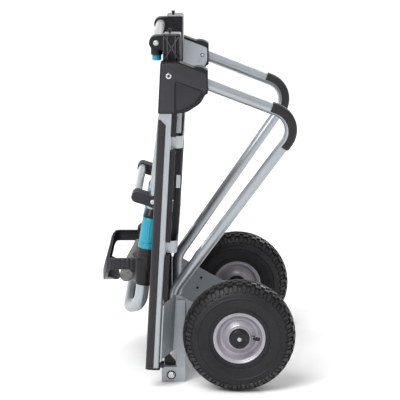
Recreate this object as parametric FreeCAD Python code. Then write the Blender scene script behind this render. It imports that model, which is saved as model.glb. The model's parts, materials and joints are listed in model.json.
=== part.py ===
import FreeCAD, Part
import math
import os

V = FreeCAD.Vector

# Folding platform cart: an aluminium hand truck that folds flat and also lies on its back,
# on its wheels and two loops, as a low platform.
# Millimetres. +Z is up, +X is towards the user's side, where the wheels are, and -Y is the left.
# Everything is laid out from the point on the floor under the middle of the axle. save() then
# moves each piece so that the origin is the middle of the footprint.

# ---- driving dimensions -------------------------------------------------------------------
WHEEL_R = 130.0          # 260 mm pneumatic wheel
WHEEL_W = 85.0
WHEEL_Y = 250.0          # middle plane of each wheel
AXLE_R = 10.0
HUB_HALF = 33.0          # half the length of the hub
RUN = 0.05               # radial running clearance
GAP = 0.4                # clearance between bodies that pass each other

FRONT_REACH = 325.0      # from the axle forward to the knuckle guard
LEAN = 3.1               # the side rails lean back by this many degrees
LEG_LEAN = 7.0           # the folded handle hangs forward by this many degrees

RAIL_FRONT = -217.0      # rail section, in rail coordinates
RAIL_BACK = -186.0
RAIL_IN = 225.0
RAIL_OUT = 255.0
RAIL_LOW = 40.0
RAIL_TOP = 735.0
COVER_LOW = 637.0        # the bare rail ends here, at the top cover

STRAP_BACK = -160.0      # rear face of the two cross members
STRAP_T = 3.0
STRAP_H = 28.0
STRAP_LOWS = (308.0, 552.0)

TUBE_R = 12.7            # one-inch loop tube
TUBE_WALL = 1.8
PAD_T = 3.2

LOOP_IN = V(-112, 243, 724.2)       # corners of the loop tube's centre line
LOOP_CORNER = V(141, 236, 627.5)
LOOP_KNEE = V(-150, 173.3, 216)
LOOP_FOOT = V(-150, 173.3, 118)

PIVOT = V(-155, 0, 788)      # handle hinge
LEG_Y = 186.0
LEG_R = 11.0
LEG_TOP = -8.5           # the leg's upper end, below the hinge
GRIP_R = 15.5            # outer tube of the grip handle
GRIP_WALL = 1.6
SIDE_IN = 168.0          # the folding side of each hinge lies between these
SIDE_OUT = 205.0
CHEEK_IN = 206.0         # the fixed side lies between these
CHEEK_OUT = 219.0
PLATE_IN = 222.0         # inner top plate
PLATE_T = 3.0

TOE_PIVOT = V(-157.5, 0, 17)
TOE_Y = 177.0            # half width of the toe plate
TOE_TOP = 338.0
TOE_T = 4.0

ORIGIN_SHIFT = V((FRONT_REACH - WHEEL_R) / 2, 0, 0)
Y_AXIS = V(0, 1, 0)
DOWN = V(0, 0, -1)


# ---- building blocks ----------------------------------------------------------------------
def box(x, y, z):
    """A box between two limits along each axis."""
    return Part.makeBox(x[1] - x[0], y[1] - y[0], z[1] - z[0], V(x[0], y[0], z[0]))


def rod(start, end, radius):
    """A round bar from one point to another."""
    along = end - start
    return Part.makeCylinder(radius, along.Length, start, along)


def rod_y(x, z, radius, y):
    """A round bar across the cart at x, z."""
    return rod(V(x, y[0], z), V(x, y[1], z), radius)


def ring_y(x, z, outer, inner, y):
    return rod_y(x, z, outer, y).cut(rod_y(x, z, inner, (y[0] - 1, y[1] + 1)))


def fuse(shapes):
    joined = shapes[0].fuse(shapes[1:]) if len(shapes) > 1 else shapes[0]
    return joined.removeSplitter()


def cut(shape, tools):
    for tool in tools:
        shape = shape.cut(tool)
    return shape


def rounded_wire(corners, to_3d):
    """A closed outline of (a, b) or (a, b, radius) corners, placed in space by to_3d."""
    edges = []
    ends = []
    count = len(corners)
    for i, corner in enumerate(corners):
        here = V(corner[0], corner[1], 0)
        before = V(*corners[i - 1][:2], 0)
        after = V(*corners[(i + 1) % count][:2], 0)
        if len(corner) == 2:
            ends.append((here, here, here))
            continue
        back = (before - here).normalize()
        ahead = (after - here).normalize()
        half = back.getAngle(ahead) / 2
        reach = corner[2] / math.tan(half)
        middle = (back + ahead).normalize()
        top = here + middle * (corner[2] / math.sin(half) - corner[2])
        ends.append((here + back * reach, top, here + ahead * reach))
    for i, (first, top, last) in enumerate(ends):
        if (first - last).Length > 1e-6:
            edges.append(Part.Arc(to_3d(first), to_3d(top), to_3d(last)).toShape())
        following = ends[(i + 1) % count][0]
        if (following - last).Length > 1e-6:
            edges.append(Part.LineSegment(to_3d(last), to_3d(following)).toShape())
    return Part.Wire(edges)


def slab_y(corners, y):
    """An outline of (x, z) corners, as thick as y says."""
    wire = rounded_wire(corners, lambda p: V(p.x, y[0], p.y))
    return Part.Face(wire).extrude(V(0, y[1] - y[0], 0))


def slab_z(corners, z):
    """An outline of (x, y) corners, as high as z says."""
    wire = rounded_wire(corners, lambda p: V(p.x, p.y, z[0]))
    return Part.Face(wire).extrude(V(0, 0, z[1] - z[0]))


def bend(points, radius):
    """Straight runs (kind, start, end, None, 0) and tangent arcs (kind, start, centre, axis, angle)."""
    path = []
    start = points[0]
    for before, here, after in zip(points, points[1:], points[2:]):
        back = (before - here).normalize()
        ahead = (after - here).normalize()
        half = back.getAngle(ahead) / 2
        reach = radius / math.tan(half)
        centre = here + (back + ahead).normalize() * (radius / math.sin(half))
        first = here + back * reach
        path.append(("run", start, first, None, 0))
        path.append(("arc", first, centre, ahead.cross(back).normalize(), 180 - math.degrees(2 * half)))
        start = here + ahead * reach
    path.append(("run", start, points[-1], None, 0))
    return path


def tube(points, radius, outer, inner=0.0):
    """A bent round tube, or a bar where inner is 0."""
    pieces = []
    for kind, first, other, axis, angle in bend(points, radius):
        along = other - first if kind == "run" else axis.cross(first - other)
        section = Part.Face(Part.Wire(Part.makeCircle(outer, first, along)))
        if inner:
            section = section.cut(Part.Face(Part.Wire(Part.makeCircle(inner, first, along))))
        pieces.append(section.extrude(along) if kind == "run" else section.revolve(other, axis, angle))
    return fuse(pieces)


def leaned(shape):
    """From rail coordinates to the cart's."""
    shape.rotate(V(0, 0, 0), Y_AXIS, LEAN)
    return shape


def on_leg(shape):
    """From the handle's own coordinates, with the hinge at 0 and the leg along -Z, to the cart's."""
    shape.rotate(V(0, 0, 0), Y_AXIS, LEG_LEAN)
    shape.translate(PIVOT)
    return shape


def at_hinge(shape):
    shape.translate(PIVOT)
    return shape


def mirrored(shape):
    return shape.mirror(V(0, 0, 0), Y_AXIS)


def save(name, shape):
    shape.translated(ORIGIN_SHIFT).exportStep("parts/" + name + ".step")


def save_pair(name, shape):
    """shape is the right-hand one, at +Y."""
    save(name + "_right", shape)
    save(name + "_left", mirrored(shape))


def save_group(name, shape):
    """shape and its mirror image together, as separate solids."""
    save(name, Part.makeCompound(shape.Solids + mirrored(shape).Solids))


# ---- wheels and axle ----------------------------------------------------------------------
RIM_R = 60.0
HUB_R = 26.0
BEARING_R = 23.5
BEARING_W = 14.0
AXLE_END = 291.0
VALVE_R = 3.0
VALVE_BEND = 6.0
VALVE_PATH = [V(68, WHEEL_Y + 3, WHEEL_R), V(33, WHEEL_Y + 3, WHEEL_R), V(33, WHEEL_Y + 30, WHEEL_R),
              V(38, WHEEL_Y + 42, WHEEL_R)]
BRACKET_Y = (186.0, 189.0)


def turned(profile):
    """A closed (radius, offset from the wheel's middle plane) profile, turned about the axle."""
    wire = rounded_wire(profile, lambda p: V(p.x, WHEEL_Y + p.y, WHEEL_R))
    return Part.Face(wire).revolve(V(0, 0, WHEEL_R), Y_AXIS, 360)


def both_sides(half):
    """A half profile and its mirror image in the wheel's middle plane, as one closed profile."""
    return half + [(p[0], -p[1]) + tuple(p[2:]) for p in reversed(half)]


def make_tyre():
    outside = [(WHEEL_R, 14, 8), (WHEEL_R - 9, 34, 10), (102, WHEEL_W / 2, 14), (80, WHEEL_W / 2, 16),
               (61, 34.5, 2), (60.6, 30.2), (52.4, 29.7)]
    inside = [(WHEEL_R - 9, 20, 8), (108, 35, 10), (76, 35, 10), (62, 22, 3), (51, 20)]
    return turned(both_sides(outside)).cut(turned(both_sides(inside)))


def make_inner_tube():
    """The inflated ring and, in one piece with it, a bent valve stem that comes out beside the hub."""
    ring = turned(both_sides([(WHEEL_R - 10, 18.5, 8), (107, 33.8, 9), (77, 33.8, 9), (64, 20, 5)]))
    return fuse([ring, tube(VALVE_PATH, VALVE_BEND, VALVE_R)])


def make_rim():
    barrel = turned([
        (RIM_R, 33, 1), (RIM_R, 30.5), (52, 30), (50.8, 19.5), (44, 13), (44, -13), (50.8, -19.5), (52, -30),
        (RIM_R, -30.5), (RIM_R, -33, 1), (57, -33), (49.5, -31.5), (48.3, -20.5), (41.5, -14.5),
        (41.5, 14.5), (48.3, 20.5), (49.5, 31.5), (57, 33)])
    hub = turned([(HUB_R, HUB_HALF), (HUB_R, -HUB_HALF), (BEARING_R, -HUB_HALF), (BEARING_R, HUB_HALF)])
    dishes = [turned([(43, 11.5 * s), (38, 11.5 * s), (25, 21 * s), (25, 24.5 * s), (39, 14.5 * s),
                      (43, 14.5 * s)]) for s in (1, -1)]
    return fuse([barrel, hub] + dishes).cut(tube(VALVE_PATH, VALVE_BEND, VALVE_R + 0.25))


def make_bearings():
    races = []
    for side in (-1, 1):
        middle = WHEEL_Y + side * (HUB_HALF - BEARING_W / 2)
        span = (middle - BEARING_W / 2, middle + BEARING_W / 2)
        races.append(ring_y(0, WHEEL_R, BEARING_R, AXLE_R + RUN, span))
    return Part.makeCompound(races)


def make_axle():
    return rod_y(0, WHEEL_R, AXLE_R, (-AXLE_END, AXLE_END))


def make_spacer():
    return ring_y(0, WHEEL_R, 15, AXLE_R, (BRACKET_Y[1], WHEEL_Y - HUB_HALF - GAP))


def make_axle_cap():
    face = WHEEL_Y + HUB_HALF + GAP
    cap = rod_y(0, WHEEL_R, 22, (face, face + 9.5))
    circles = [e for e in cap.Edges if e.Curve.TypeId == "Part::GeomCircle"]
    cap = cap.makeFillet(2.5, [e for e in circles if e.CenterOfMass.y > face + 5])
    return cap.cut(rod_y(0, WHEEL_R, AXLE_R, (face - 1, AXLE_END)))


# ---- side frames --------------------------------------------------------------------------
RAIL_WALL = 2.2
STRIP_T = 1.5                # glide strip and rail cap stand this proud of the rail
STRIP_BACK = -200.0          # the glide strip covers the rail forward of this


def rail_section(extra, radii):
    """The rail's outline, larger all round by extra, with the given inner and outer corner radii."""
    near, far = radii
    return [(RAIL_FRONT - extra, RAIL_IN - extra, near), (RAIL_FRONT - extra, RAIL_OUT + extra, far),
            (RAIL_BACK + extra, RAIL_OUT + extra, far), (RAIL_BACK + extra, RAIL_IN - extra, near)]


def make_rail():
    bore = slab_z(rail_section(-RAIL_WALL, (2, 7)), (RAIL_LOW - 1, RAIL_TOP + 1))
    rail = slab_z(rail_section(0, (4, 9)), (RAIL_LOW, RAIL_TOP)).cut(bore)
    return leaned(rail)


def make_glide_strip():
    """A hard plastic strip that wraps the front half of the rail; its top end is cut at a slant."""
    t = STRIP_T
    back = STRIP_BACK
    outer = [(RAIL_FRONT - t, RAIL_IN - t, 5), (RAIL_FRONT - t, RAIL_OUT + t, 10.5),
             (back, RAIL_OUT + t), (back, RAIL_IN - t)]
    inner = [(RAIL_FRONT, RAIL_IN, 4), (RAIL_FRONT, RAIL_OUT, 9), (back + 1, RAIL_OUT), (back + 1, RAIL_IN)]
    low = RAIL_LOW + 1
    high = COVER_LOW - 17
    strip = slab_z(outer, (low, high)).cut(slab_z(inner, (low - 1, high + 1)))
    slant = slab_y([(RAIL_FRONT - 4, high + 1), (RAIL_FRONT + 3, high + 1), (back + 1, high - 12),
                    (back + 1, high + 1)], (RAIL_IN - 10, RAIL_OUT + 10))
    spans = [(z - 1, z + STRAP_H + 1) for z in STRAP_LOWS] + [(STRAP_LOWS[1], high + 1)]
    notches = [box((RAIL_FRONT + 3, back + 1), (RAIL_IN - 3, RAIL_IN), span) for span in spans]
    return leaned(cut(strip, [slant] + notches))


def make_rail_cap():
    plug = rail_section(-RAIL_WALL - GAP, (2, 6))
    cap = slab_z(rail_section(STRIP_T, (5, 10)), (RAIL_LOW - 4, RAIL_LOW))
    return leaned(fuse([cap, slab_z(plug, (RAIL_LOW - 1, RAIL_LOW + 25))]))


def make_rear_strip():
    """Black packing strip behind the rail, between the fittings that are fixed to it."""
    spans = ((41.0, 51.0), (202.0, STRAP_LOWS[0] - 2), (STRAP_LOWS[0] + STRAP_H + 2, STRAP_LOWS[1] - 2),
             (STRAP_LOWS[1] + STRAP_H + 2, COVER_LOW - 2))
    strips = [leaned(box((RAIL_BACK, -176.0), (RAIL_IN + 2, RAIL_OUT - 4), span)) for span in spans]
    return Part.makeCompound(strips)


def make_cross_members():
    """Flat straps bent round behind the rails, with a flange inside each rail."""
    front = RAIL_FRONT + 5
    inside = RAIL_IN - STRAP_T
    straps = []
    for low in STRAP_LOWS:
        outer = slab_z([(front, -RAIL_IN), (front, RAIL_IN), (STRAP_BACK, RAIL_IN, 16),
                        (STRAP_BACK, -RAIL_IN, 16)], (low, low + STRAP_H))
        hollow = slab_z([(front - 1, -inside), (front - 1, inside), (STRAP_BACK - STRAP_T, inside, 13),
                         (STRAP_BACK - STRAP_T, -inside, 13)], (low - 1, low + STRAP_H + 1))
        straps.append(leaned(outer.cut(hollow)))
    return Part.makeCompound(straps)


PANEL_FRONT = -174.0
PANEL_HALF = 150.0
POCKET = (66.5, 61.0)        # width and height
POCKET_STEP = (72.5, 67.0)
LABEL_Z = (446.0, 476.0)


def make_back_panel():
    """A moulded panel held inside the two cross members, with pockets in its rear face between them."""
    low = STRAP_LOWS[0] - 6
    high = COVER_LOW - 4
    thick = slab_z([(PANEL_FRONT, -PANEL_HALF, 4), (PANEL_FRONT, PANEL_HALF, 4), (STRAP_BACK, PANEL_HALF, 4),
                    (STRAP_BACK, -PANEL_HALF, 4)], (low, high))
    slots = [box((STRAP_BACK - STRAP_T, 0), (-200, 200), (z - 1, z + STRAP_H + 1)) for z in STRAP_LOWS]
    pockets = []
    for column in range(4):
        left = 8 - PANEL_HALF + column * POCKET_STEP[0]
        for row in range(3):
            floor = STRAP_LOWS[0] + STRAP_H + 9 + row * POCKET_STEP[1]
            pockets.append(box((PANEL_FRONT + 4, 0), (left, left + POCKET[0]), (floor, floor + POCKET[1])))
    return leaned(cut(thick, slots + pockets))


def make_label():
    """A blank rating plate on the panel's left edge."""
    y = -PANEL_HALF
    return leaned(box((PANEL_FRONT + 3, STRAP_BACK - 1.5), (y - 0.8, y), LABEL_Z))


# ---- top fittings -------------------------------------------------------------------------
COVER_OUT = 262.0
COVER_WALL = 3.5
COVER_SCREW = (-160.0, 731.0)
SCREW_R = 3.0
CLAMP = (-95.0, 717.0)
CLAMP_R = 34.0
CLAMP_BOLT = (-88.0, 698.0)
CLAMP_OUT = 257.0
CLAMP_BOLT_R = 4.0
HEX_R = 7.5


def make_top_plate():
    """The inner side plate of the top fitting, with a slotted tail below it."""
    y = (PLATE_IN, PLATE_IN + PLATE_T)
    body = slab_y([(-183, 648, 2), (-174, 757, 5), (-138, 757, 8), (-76, 733, 8), (-76, 700, 10),
                   (-92, 669, 30), (-118, 653, 20), (-130, 648)], y)
    tail = slab_y([(-171, 596, 3), (-171, 660), (-130, 660), (-133, 596, 3)], y)
    through = (PLATE_IN - 1, PLATE_IN + PLATE_T + 1)
    hook_slot = slab_y([(-160, 620), (-160, 636), (-141, 636), (-141, 629), (-148, 629), (-148, 620)],
                       through)
    square_hole = slab_y([(-162, 605), (-162, 614), (-151, 614), (-151, 605)], through)
    return cut(fuse([body, tail]), [hook_slot, square_hole, rod_y(*CLAMP_BOLT, CLAMP_BOLT_R, through)])


def clamp_disc(extra):
    """The round clamp, larger by extra towards the back and the outside."""
    disc = rod_y(*CLAMP, CLAMP_R, (RAIL_IN - extra, CLAMP_OUT))
    return disc.common(box((-140, -72.3 + extra), (200, 260), (684, 780)))


def make_top_cover():
    """Moulded cap over the top of the rail and the tube clamp, open towards the inside."""
    outline = [(-184.5, 645.5, 4), (-178.3, 762, 6), (-137, 762, 8), (-73, 738, 7), (-72, 700, 10),
               (-89, 669, 35), (-118, 650, 25), (-145, 645.5, 4)]
    inside = [(-182, 648.5, 2), (-176, 759, 3), (-138, 759, 6), (-76, 735.5, 5), (-75, 701, 8),
              (-91.5, 671.5, 32), (-119, 653, 22), (-145, 648.5, 2)]
    y = (PLATE_IN + PLATE_T, COVER_OUT)
    shell = slab_y(outline, y).cut(slab_y(inside, (y[0] - 1, COVER_OUT - COVER_WALL)))
    rail_way = leaned(box((RAIL_FRONT, RAIL_BACK), (RAIL_IN - 1, RAIL_OUT), (COVER_LOW - 30, RAIL_TOP)))
    loop_way = rod(LOOP_IN, LOOP_CORNER, TUBE_R)
    return cut(shell, [rail_way, clamp_disc(GAP), loop_way, rod_y(*COVER_SCREW, SCREW_R, (200, 270))])


def make_cover_screw():
    """Domed screw through the cover into the rail."""
    head = rod_y(*COVER_SCREW, 6.5, (COVER_OUT, COVER_OUT + 3.2))
    head = head.makeFillet(1.8, [e for e in head.Edges if e.CenterOfMass.y > COVER_OUT + 3])
    return fuse([head, rod_y(*COVER_SCREW, SCREW_R, (RAIL_OUT, COVER_OUT + 1))])


def make_tube_clamp():
    """The round block that grips the upper end of the loop tube."""
    bolt_way = rod_y(*CLAMP_BOLT, CLAMP_BOLT_R, (200, 260))
    return cut(clamp_disc(0), [rod(LOOP_IN, LOOP_CORNER, TUBE_R), bolt_way])


def hexagon_y(x, z, radius, y):
    corners = [(x + radius * math.cos(math.radians(60 * i)), z + radius * math.sin(math.radians(60 * i)))
               for i in range(6)]
    return slab_y(corners, y)


def make_clamp_bolt():
    head = hexagon_y(*CLAMP_BOLT, HEX_R, (PLATE_IN - 5, PLATE_IN))
    return fuse([head, rod_y(*CLAMP_BOLT, CLAMP_BOLT_R, (PLATE_IN - 1, CLAMP_OUT))])


# ---- loops --------------------------------------------------------------------------------
# The loop runs back from the top fitting, round a wide bend and down to the wheel bracket. It leans
# in towards the middle on its way down.
LOOP_BEND = 50.0
KNEE_BEND = 60.0
PAD_LEAD = (12.0, 12.0)      # straight ends of the pad above and below the bend


def make_loop():
    """Two halves, because the bend and the knee have different radii."""
    split = LOOP_KNEE + (LOOP_CORNER - LOOP_KNEE).normalize() * 200
    upper = tube([LOOP_IN, LOOP_CORNER, split], LOOP_BEND, TUBE_R, TUBE_R - TUBE_WALL)
    lower = tube([split, LOOP_KNEE, LOOP_FOOT], KNEE_BEND, TUBE_R, TUBE_R - TUBE_WALL)
    return fuse([upper, lower]).cut(rod_y(*CLAMP_BOLT, CLAMP_BOLT_R, (200, 260)))


def make_skid_pad():
    """A rubber pad round the outside of the bend, which the cart rests on when it lies down."""
    first, centre, axis, angle = bend([LOOP_IN, LOOP_CORNER, LOOP_KNEE], LOOP_BEND)[1][1:]
    turn = FreeCAD.Rotation(axis, angle)
    last = centre + turn.multVec(first - centre)

    def section(at):
        """Part of a ring: the side that faces the middle of the bend is left open."""
        outward = (at - centre).normalize()
        along = axis.cross(outward)
        ring = Part.Face(Part.Wire(Part.makeCircle(TUBE_R + PAD_T, at, along)))
        ring = ring.cut(Part.Face(Part.Wire(Part.makeCircle(TUBE_R, at, along))))
        near = at - outward * 4
        far = at - outward * 30
        wide = axis * 30
        open_side = Part.makePolygon([near + wide, near - wide, far - wide, far + wide, near + wide])
        return ring.cut(Part.Face(open_side))

    start = section(first).extrude((LOOP_IN - LOOP_CORNER).normalize() * PAD_LEAD[0])
    round_bend = section(first).revolve(centre, axis, angle)
    end = section(last).extrude((LOOP_KNEE - LOOP_CORNER).normalize() * PAD_LEAD[1])
    return fuse([start, round_bend, end])


# ---- wheel brackets and feet --------------------------------------------------------------
CHANNEL_OUT = 195.0
CHANNEL_X = (-145.0, -125.0)
FOOT_TOP = 36.0
FOOT_X = (-180.0, -125.0)
FOOT_Y = (178.5, CHANNEL_OUT)
TOE_PIN_R = 5.0
BRACKET_T = 3.0
MOUNT_HOLES = ((-100.0, 129.0), (-90.5, 155.0))
MOUNT_HOLE_R = 3.5


def make_wheel_bracket():
    """One bent sheet: a flange behind the rail, a slanted web and the side plate that carries the axle."""
    back = RAIL_BACK + BRACKET_T
    inner, outer = BRACKET_Y
    plan = [(RAIL_BACK, 253), (back, 253), (back, 238.5), (-158, outer, 3), (30, outer), (30, inner),
            (-160, inner, 6), (RAIL_BACK, 236)]
    outline = [(-192, 52), (-192, 188), (-152, 200, 12), (-45, 147), (6, 147, 20), (22, 120, 14),
               (4, 104, 12), (-60, 84, 20), (-148, 70)]
    sheet = leaned(slab_z(plan, (30, 230)).common(slab_y(outline, (150, 270))))
    holes = [rod_y(*place, MOUNT_HOLE_R, (150, 200)) for place in MOUNT_HOLES]
    return cut(sheet, holes + [rod_y(0, WHEEL_R, AXLE_R, (150, 270))])


def make_foot_channel():
    """The upright channel outside the wheel bracket, standing on the foot."""
    x0, x1 = CHANNEL_X
    y0 = BRACKET_Y[1]
    channel = box((x0, x1), (y0, CHANNEL_OUT), (FOOT_TOP, 198))
    hollow = box((x0 + 2.5, x1 - 2.5), (y0 - 1, CHANNEL_OUT - 2.5), (FOOT_TOP - 1, 199))
    back = box((x0, x1), (BRACKET_Y[0], y0), (FOOT_TOP, 66))
    return fuse([channel.cut(hollow), back])


def make_foot():
    x0, x1 = FOOT_X
    block = slab_y([(x0, 0, 2), (x0, FOOT_TOP, 2), (x1, FOOT_TOP, 2), (x1, 0, 2)], FOOT_Y)
    return block.cut(rod_y(TOE_PIVOT.x, TOE_PIVOT.z, TOE_PIN_R, (170, 200)))


def make_foot_bolt():
    """Shoulder bolt through the foot; the toe plate turns on its inner end."""
    shank = rod_y(TOE_PIVOT.x, TOE_PIVOT.z, TOE_PIN_R, (TOE_Y - 8, CHANNEL_OUT))
    head = hexagon_y(TOE_PIVOT.x, TOE_PIVOT.z, HEX_R, (CHANNEL_OUT, CHANNEL_OUT + 5))
    return fuse([head, shank])


def make_toe_plate():
    """A tray with folded sides. It stands up when folded, and its ribbed face carries the load."""
    x = TOE_PIVOT.x - 16.5
    y = TOE_Y
    low = TOE_PIVOT.z - 7
    panel = slab_y([(x, low, 3.5), (x, TOE_TOP), (x + TOE_T, TOE_TOP), (x + TOE_T, low)], (-y, y))
    side = slab_y([(x, low, 3.5), (x, TOE_TOP, 3), (x + 9.5, TOE_TOP, 4), (x + 9.5, 66, 20), (x + 27, 44, 8),
                   (x + 27, low, 8)], (y - TOE_T, y))
    lip = box((x, x + 9.5), (-y + 2, y - 2), (TOE_TOP - 4, TOE_TOP))
    ribs = [box((x + TOE_T - 1, x + TOE_T + 3), (c - 3, c + 3), (low + 14, TOE_TOP - 2))
            for c in (-120, -60, 0, 60, 120)]
    tray = fuse([panel, side, mirrored(side), lip] + ribs)
    return tray.cut(rod_y(TOE_PIVOT.x, TOE_PIVOT.z, TOE_PIN_R + RUN, (-200, 200)))


# ---- handle hinge -------------------------------------------------------------------------
# The pieces here are drawn with the hinge at the origin and moved up to it by at_hinge().
BLOCK_X = (-19.0, 21.5)
BLOCK_Z = (-30.0, 31.0)
BOSS = V(-35, 0, 10)
BOSS_R = 15.5
PIN_R = 5.0
HUB_BOSS_R = 9.0
POCKET_DEPTH = 5.0
RIB_W = 3.0
TONGUE = 62.0                # the cheek's tongue reaches this far below its block
STUD_X = -4.0
STUD_R = 2.6
BAR_OUT = 199.0              # end of the upper crossbar
UPPER_BAR_R = 11.0
BAR_WALL = 1.8
BUTTON_R = 10.6
BUTTON_X = -33.5
BUTTON_Z = (-31.0, -13.0)
BUTTON_TRAVEL = 5.0


def make_hinge_cheek():
    """Fixed side of the hinge: a ribbed block with a tongue bolted inside the top plate."""
    y = (CHEEK_IN, CHEEK_OUT)
    x0, x1 = BLOCK_X
    z0, z1 = BLOCK_Z
    block = slab_y([(x0, z0, 2), (x0, z1, 4), (x1, z1, 5), (x1, z0, 2)], y)
    pocket = slab_y([(x0 + 3, z0 + 3, 2), (x0 + 3, z1 - 3, 2), (x1 - 5, z1 - 3, 2), (x1 - 5, z0 + 3, 2)],
                    (CHEEK_OUT - POCKET_DEPTH, CHEEK_OUT + 1))
    w = RIB_W / 2
    ribs = []
    for z in (26, -26):
        ribs.append(slab_y([(x0 + 2, z - w), (x0 + 2, z + w), (x1 - 4, w - z), (x1 - 4, -w - z)], y))
    for x in (-9, 9):
        ribs.append(box((x - w, x + w), y, (z0 + 1, z1 - 1)))
    tongue = slab_y([(x0 + 2, z0 - TONGUE, 6), (x0 + 2, z0 + 2), (x1 - 3, z0 + 2), (x1 - 3, z0 - TONGUE, 6)],
                    (CHEEK_OUT - POCKET_DEPTH, PLATE_IN))
    whole = fuse([block.cut(pocket), rod_y(0, 0, HUB_BOSS_R, y)] + ribs + [tongue])
    return at_hinge(whole.cut(rod_y(0, 0, PIN_R, (200, 230))))


def make_hinge_pin():
    pin = rod_y(0, 0, PIN_R, (SIDE_IN - 3, CHEEK_OUT))
    return at_hinge(fuse([pin, rod_y(0, 0, HEX_R, (SIDE_IN - 5, SIDE_IN - GAP))]))


def make_hinge_block():
    """Folding side of the hinge: it holds the leg tube, the upper crossbar and the release button."""
    y = (SIDE_IN, SIDE_OUT)
    x0, x1 = BLOCK_X
    z0, z1 = BLOCK_Z
    block = slab_y([(x0, z0, 3), (x0, z1 - 2, 3), (x1 - 2, z1 - 2, 2), (x1 - 2, z0)], y)
    boss = rod_y(BOSS.x, BOSS.z, BOSS_R, (SIDE_IN + 2, SIDE_OUT - 1))
    arm = slab_y([(BOSS.x, BOSS.z - BOSS_R), (BOSS.x, BOSS.z + BOSS_R), (x0 + 5, z1 - 4), (x0 + 5, z0 + 8),
                  (BOSS.x + 12, BOSS.z - BOSS_R)], (SIDE_IN + 4, SIDE_OUT - 3))
    socket = rod(V(BUTTON_X, LEG_Y, BUTTON_Z[1] - 5), V(BUTTON_X, LEG_Y, BOSS.z), BUTTON_R + 2.8)
    stud = rod(V(STUD_X, LEG_Y, z1 - 3), V(STUD_X, LEG_Y, z1 + 6), STUD_R)
    stud_head = rod(V(STUD_X, LEG_Y, z1 + 4), V(STUD_X, LEG_Y, z1 + 10), STUD_R + 1.4)
    leg_way = rod(V(0, LEG_Y, -60), V(0, LEG_Y, LEG_TOP), LEG_R)
    leg_way.rotate(V(0, 0, 0), Y_AXIS, LEG_LEAN)
    button_end = V(BUTTON_X, LEG_Y, BUTTON_Z[1] + BUTTON_TRAVEL + 1)
    button_way = rod(V(BUTTON_X, LEG_Y, z0 - 10), button_end, BUTTON_R + 0.3)
    bar_way = rod_y(BOSS.x, BOSS.z, UPPER_BAR_R, (SIDE_IN - 1, BAR_OUT))
    bolt_way = rod_y(BOSS.x, BOSS.z, SCREW_R, (BAR_OUT - 1, SIDE_OUT + 1))
    pin_way = rod_y(0, 0, PIN_R + RUN, (SIDE_IN - 1, SIDE_OUT + 1))
    whole = fuse([block, boss, arm, socket, stud, stud_head])
    return at_hinge(cut(whole, [leg_way, button_way, bar_way, bolt_way, pin_way]))


def make_hinge_strap():
    """Bent metal strip over the end and back of the folding block."""
    x0, x1 = BLOCK_X
    z0, z1 = BLOCK_Z
    strip = slab_y([(x0 + 3, z1 - 2), (x0 + 3, z1), (x1, z1, 4), (x1, z0), (x1 - 2, z0), (x1 - 2, z1 - 2, 2)],
                   (SIDE_IN, SIDE_OUT))
    return at_hinge(strip.cut(rod(V(STUD_X, LEG_Y, 0), V(STUD_X, LEG_Y, 60), STUD_R)))


def make_release_button():
    button = rod(V(BUTTON_X, LEG_Y, BUTTON_Z[0]), V(BUTTON_X, LEG_Y, BUTTON_Z[1]), BUTTON_R)
    return at_hinge(button.makeFillet(2.0, [e for e in button.Edges if e.CenterOfMass.z < BUTTON_Z[0] + 0.1]))


def make_upper_crossbar():
    return at_hinge(ring_y(BOSS.x, BOSS.z, UPPER_BAR_R, UPPER_BAR_R - BAR_WALL, (-BAR_OUT, BAR_OUT)))


def make_boss_bolt():
    """Bolt through the boss into the plug in the crossbar's end."""
    head = rod_y(BOSS.x, BOSS.z, 6, (SIDE_OUT - 1, SIDE_OUT + 0.6))
    plug = rod_y(BOSS.x, BOSS.z, UPPER_BAR_R - BAR_WALL, (BAR_OUT - 25, BAR_OUT))
    return at_hinge(fuse([head, rod_y(BOSS.x, BOSS.z, SCREW_R, (BAR_OUT - 1, SIDE_OUT)), plug]))


# ---- handle -------------------------------------------------------------------------------
# The pieces here are drawn with the hinge at the origin and the leg along -Z, and placed by on_leg().
LEG_WALL = 1.8
LEG_END = -540.0
ARM_Z = -360.0
BAR = V(-38, 0, -353)
BAR_R = 9.5
ARM_R = 12.5
ARM_Y = (LEG_Y - 30, LEG_Y + 14)
LOWER_BAR_END = LEG_Y + 6
FERRULE = (-378.0, -398.0)
COLLAR = (-398.6, -470.6)
SLEEVE = (-471.2, -558.0)
COLLAR_R = (18.6, 22.0)
SLEEVE_R = (21.5, 18.0)
U_DROP = V(0, LEG_Y, -606)
U_TURN = V(-24, 146, -625)
U_BEND = 38.0


def leg_point(z):
    return V(0, LEG_Y, z)


def make_leg():
    bore = rod(leg_point(LEG_END - 1), leg_point(0), LEG_R - LEG_WALL)
    return on_leg(rod(leg_point(LEG_END), leg_point(LEG_TOP), LEG_R).cut(bore))


def leg_beside_arm():
    return rod(leg_point(ARM_Z - 40), leg_point(ARM_Z + 40), LEG_R)


def make_crossbar_arm():
    """Clamp round the leg with an arm that holds the lower crossbar."""
    web = slab_y([(0, ARM_Z - ARM_R), (BAR.x, BAR.z - ARM_R), (BAR.x, BAR.z + ARM_R), (0, ARM_Z + ARM_R)],
                 ARM_Y)
    arm = fuse([rod_y(0, ARM_Z, ARM_R + 1.0, ARM_Y), rod_y(BAR.x, BAR.z, ARM_R, ARM_Y), web])
    bar_way = rod_y(BAR.x, BAR.z, BAR_R, (100, LOWER_BAR_END))
    bolt_way = rod_y(0, ARM_Z, SCREW_R, (LEG_Y, LEG_Y + 20))
    return on_leg(cut(arm, [leg_beside_arm(), bar_way, bolt_way]))


def make_lower_crossbar():
    return on_leg(ring_y(BAR.x, BAR.z, BAR_R, BAR_R - 1.6, (-LOWER_BAR_END, LOWER_BAR_END)))


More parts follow.
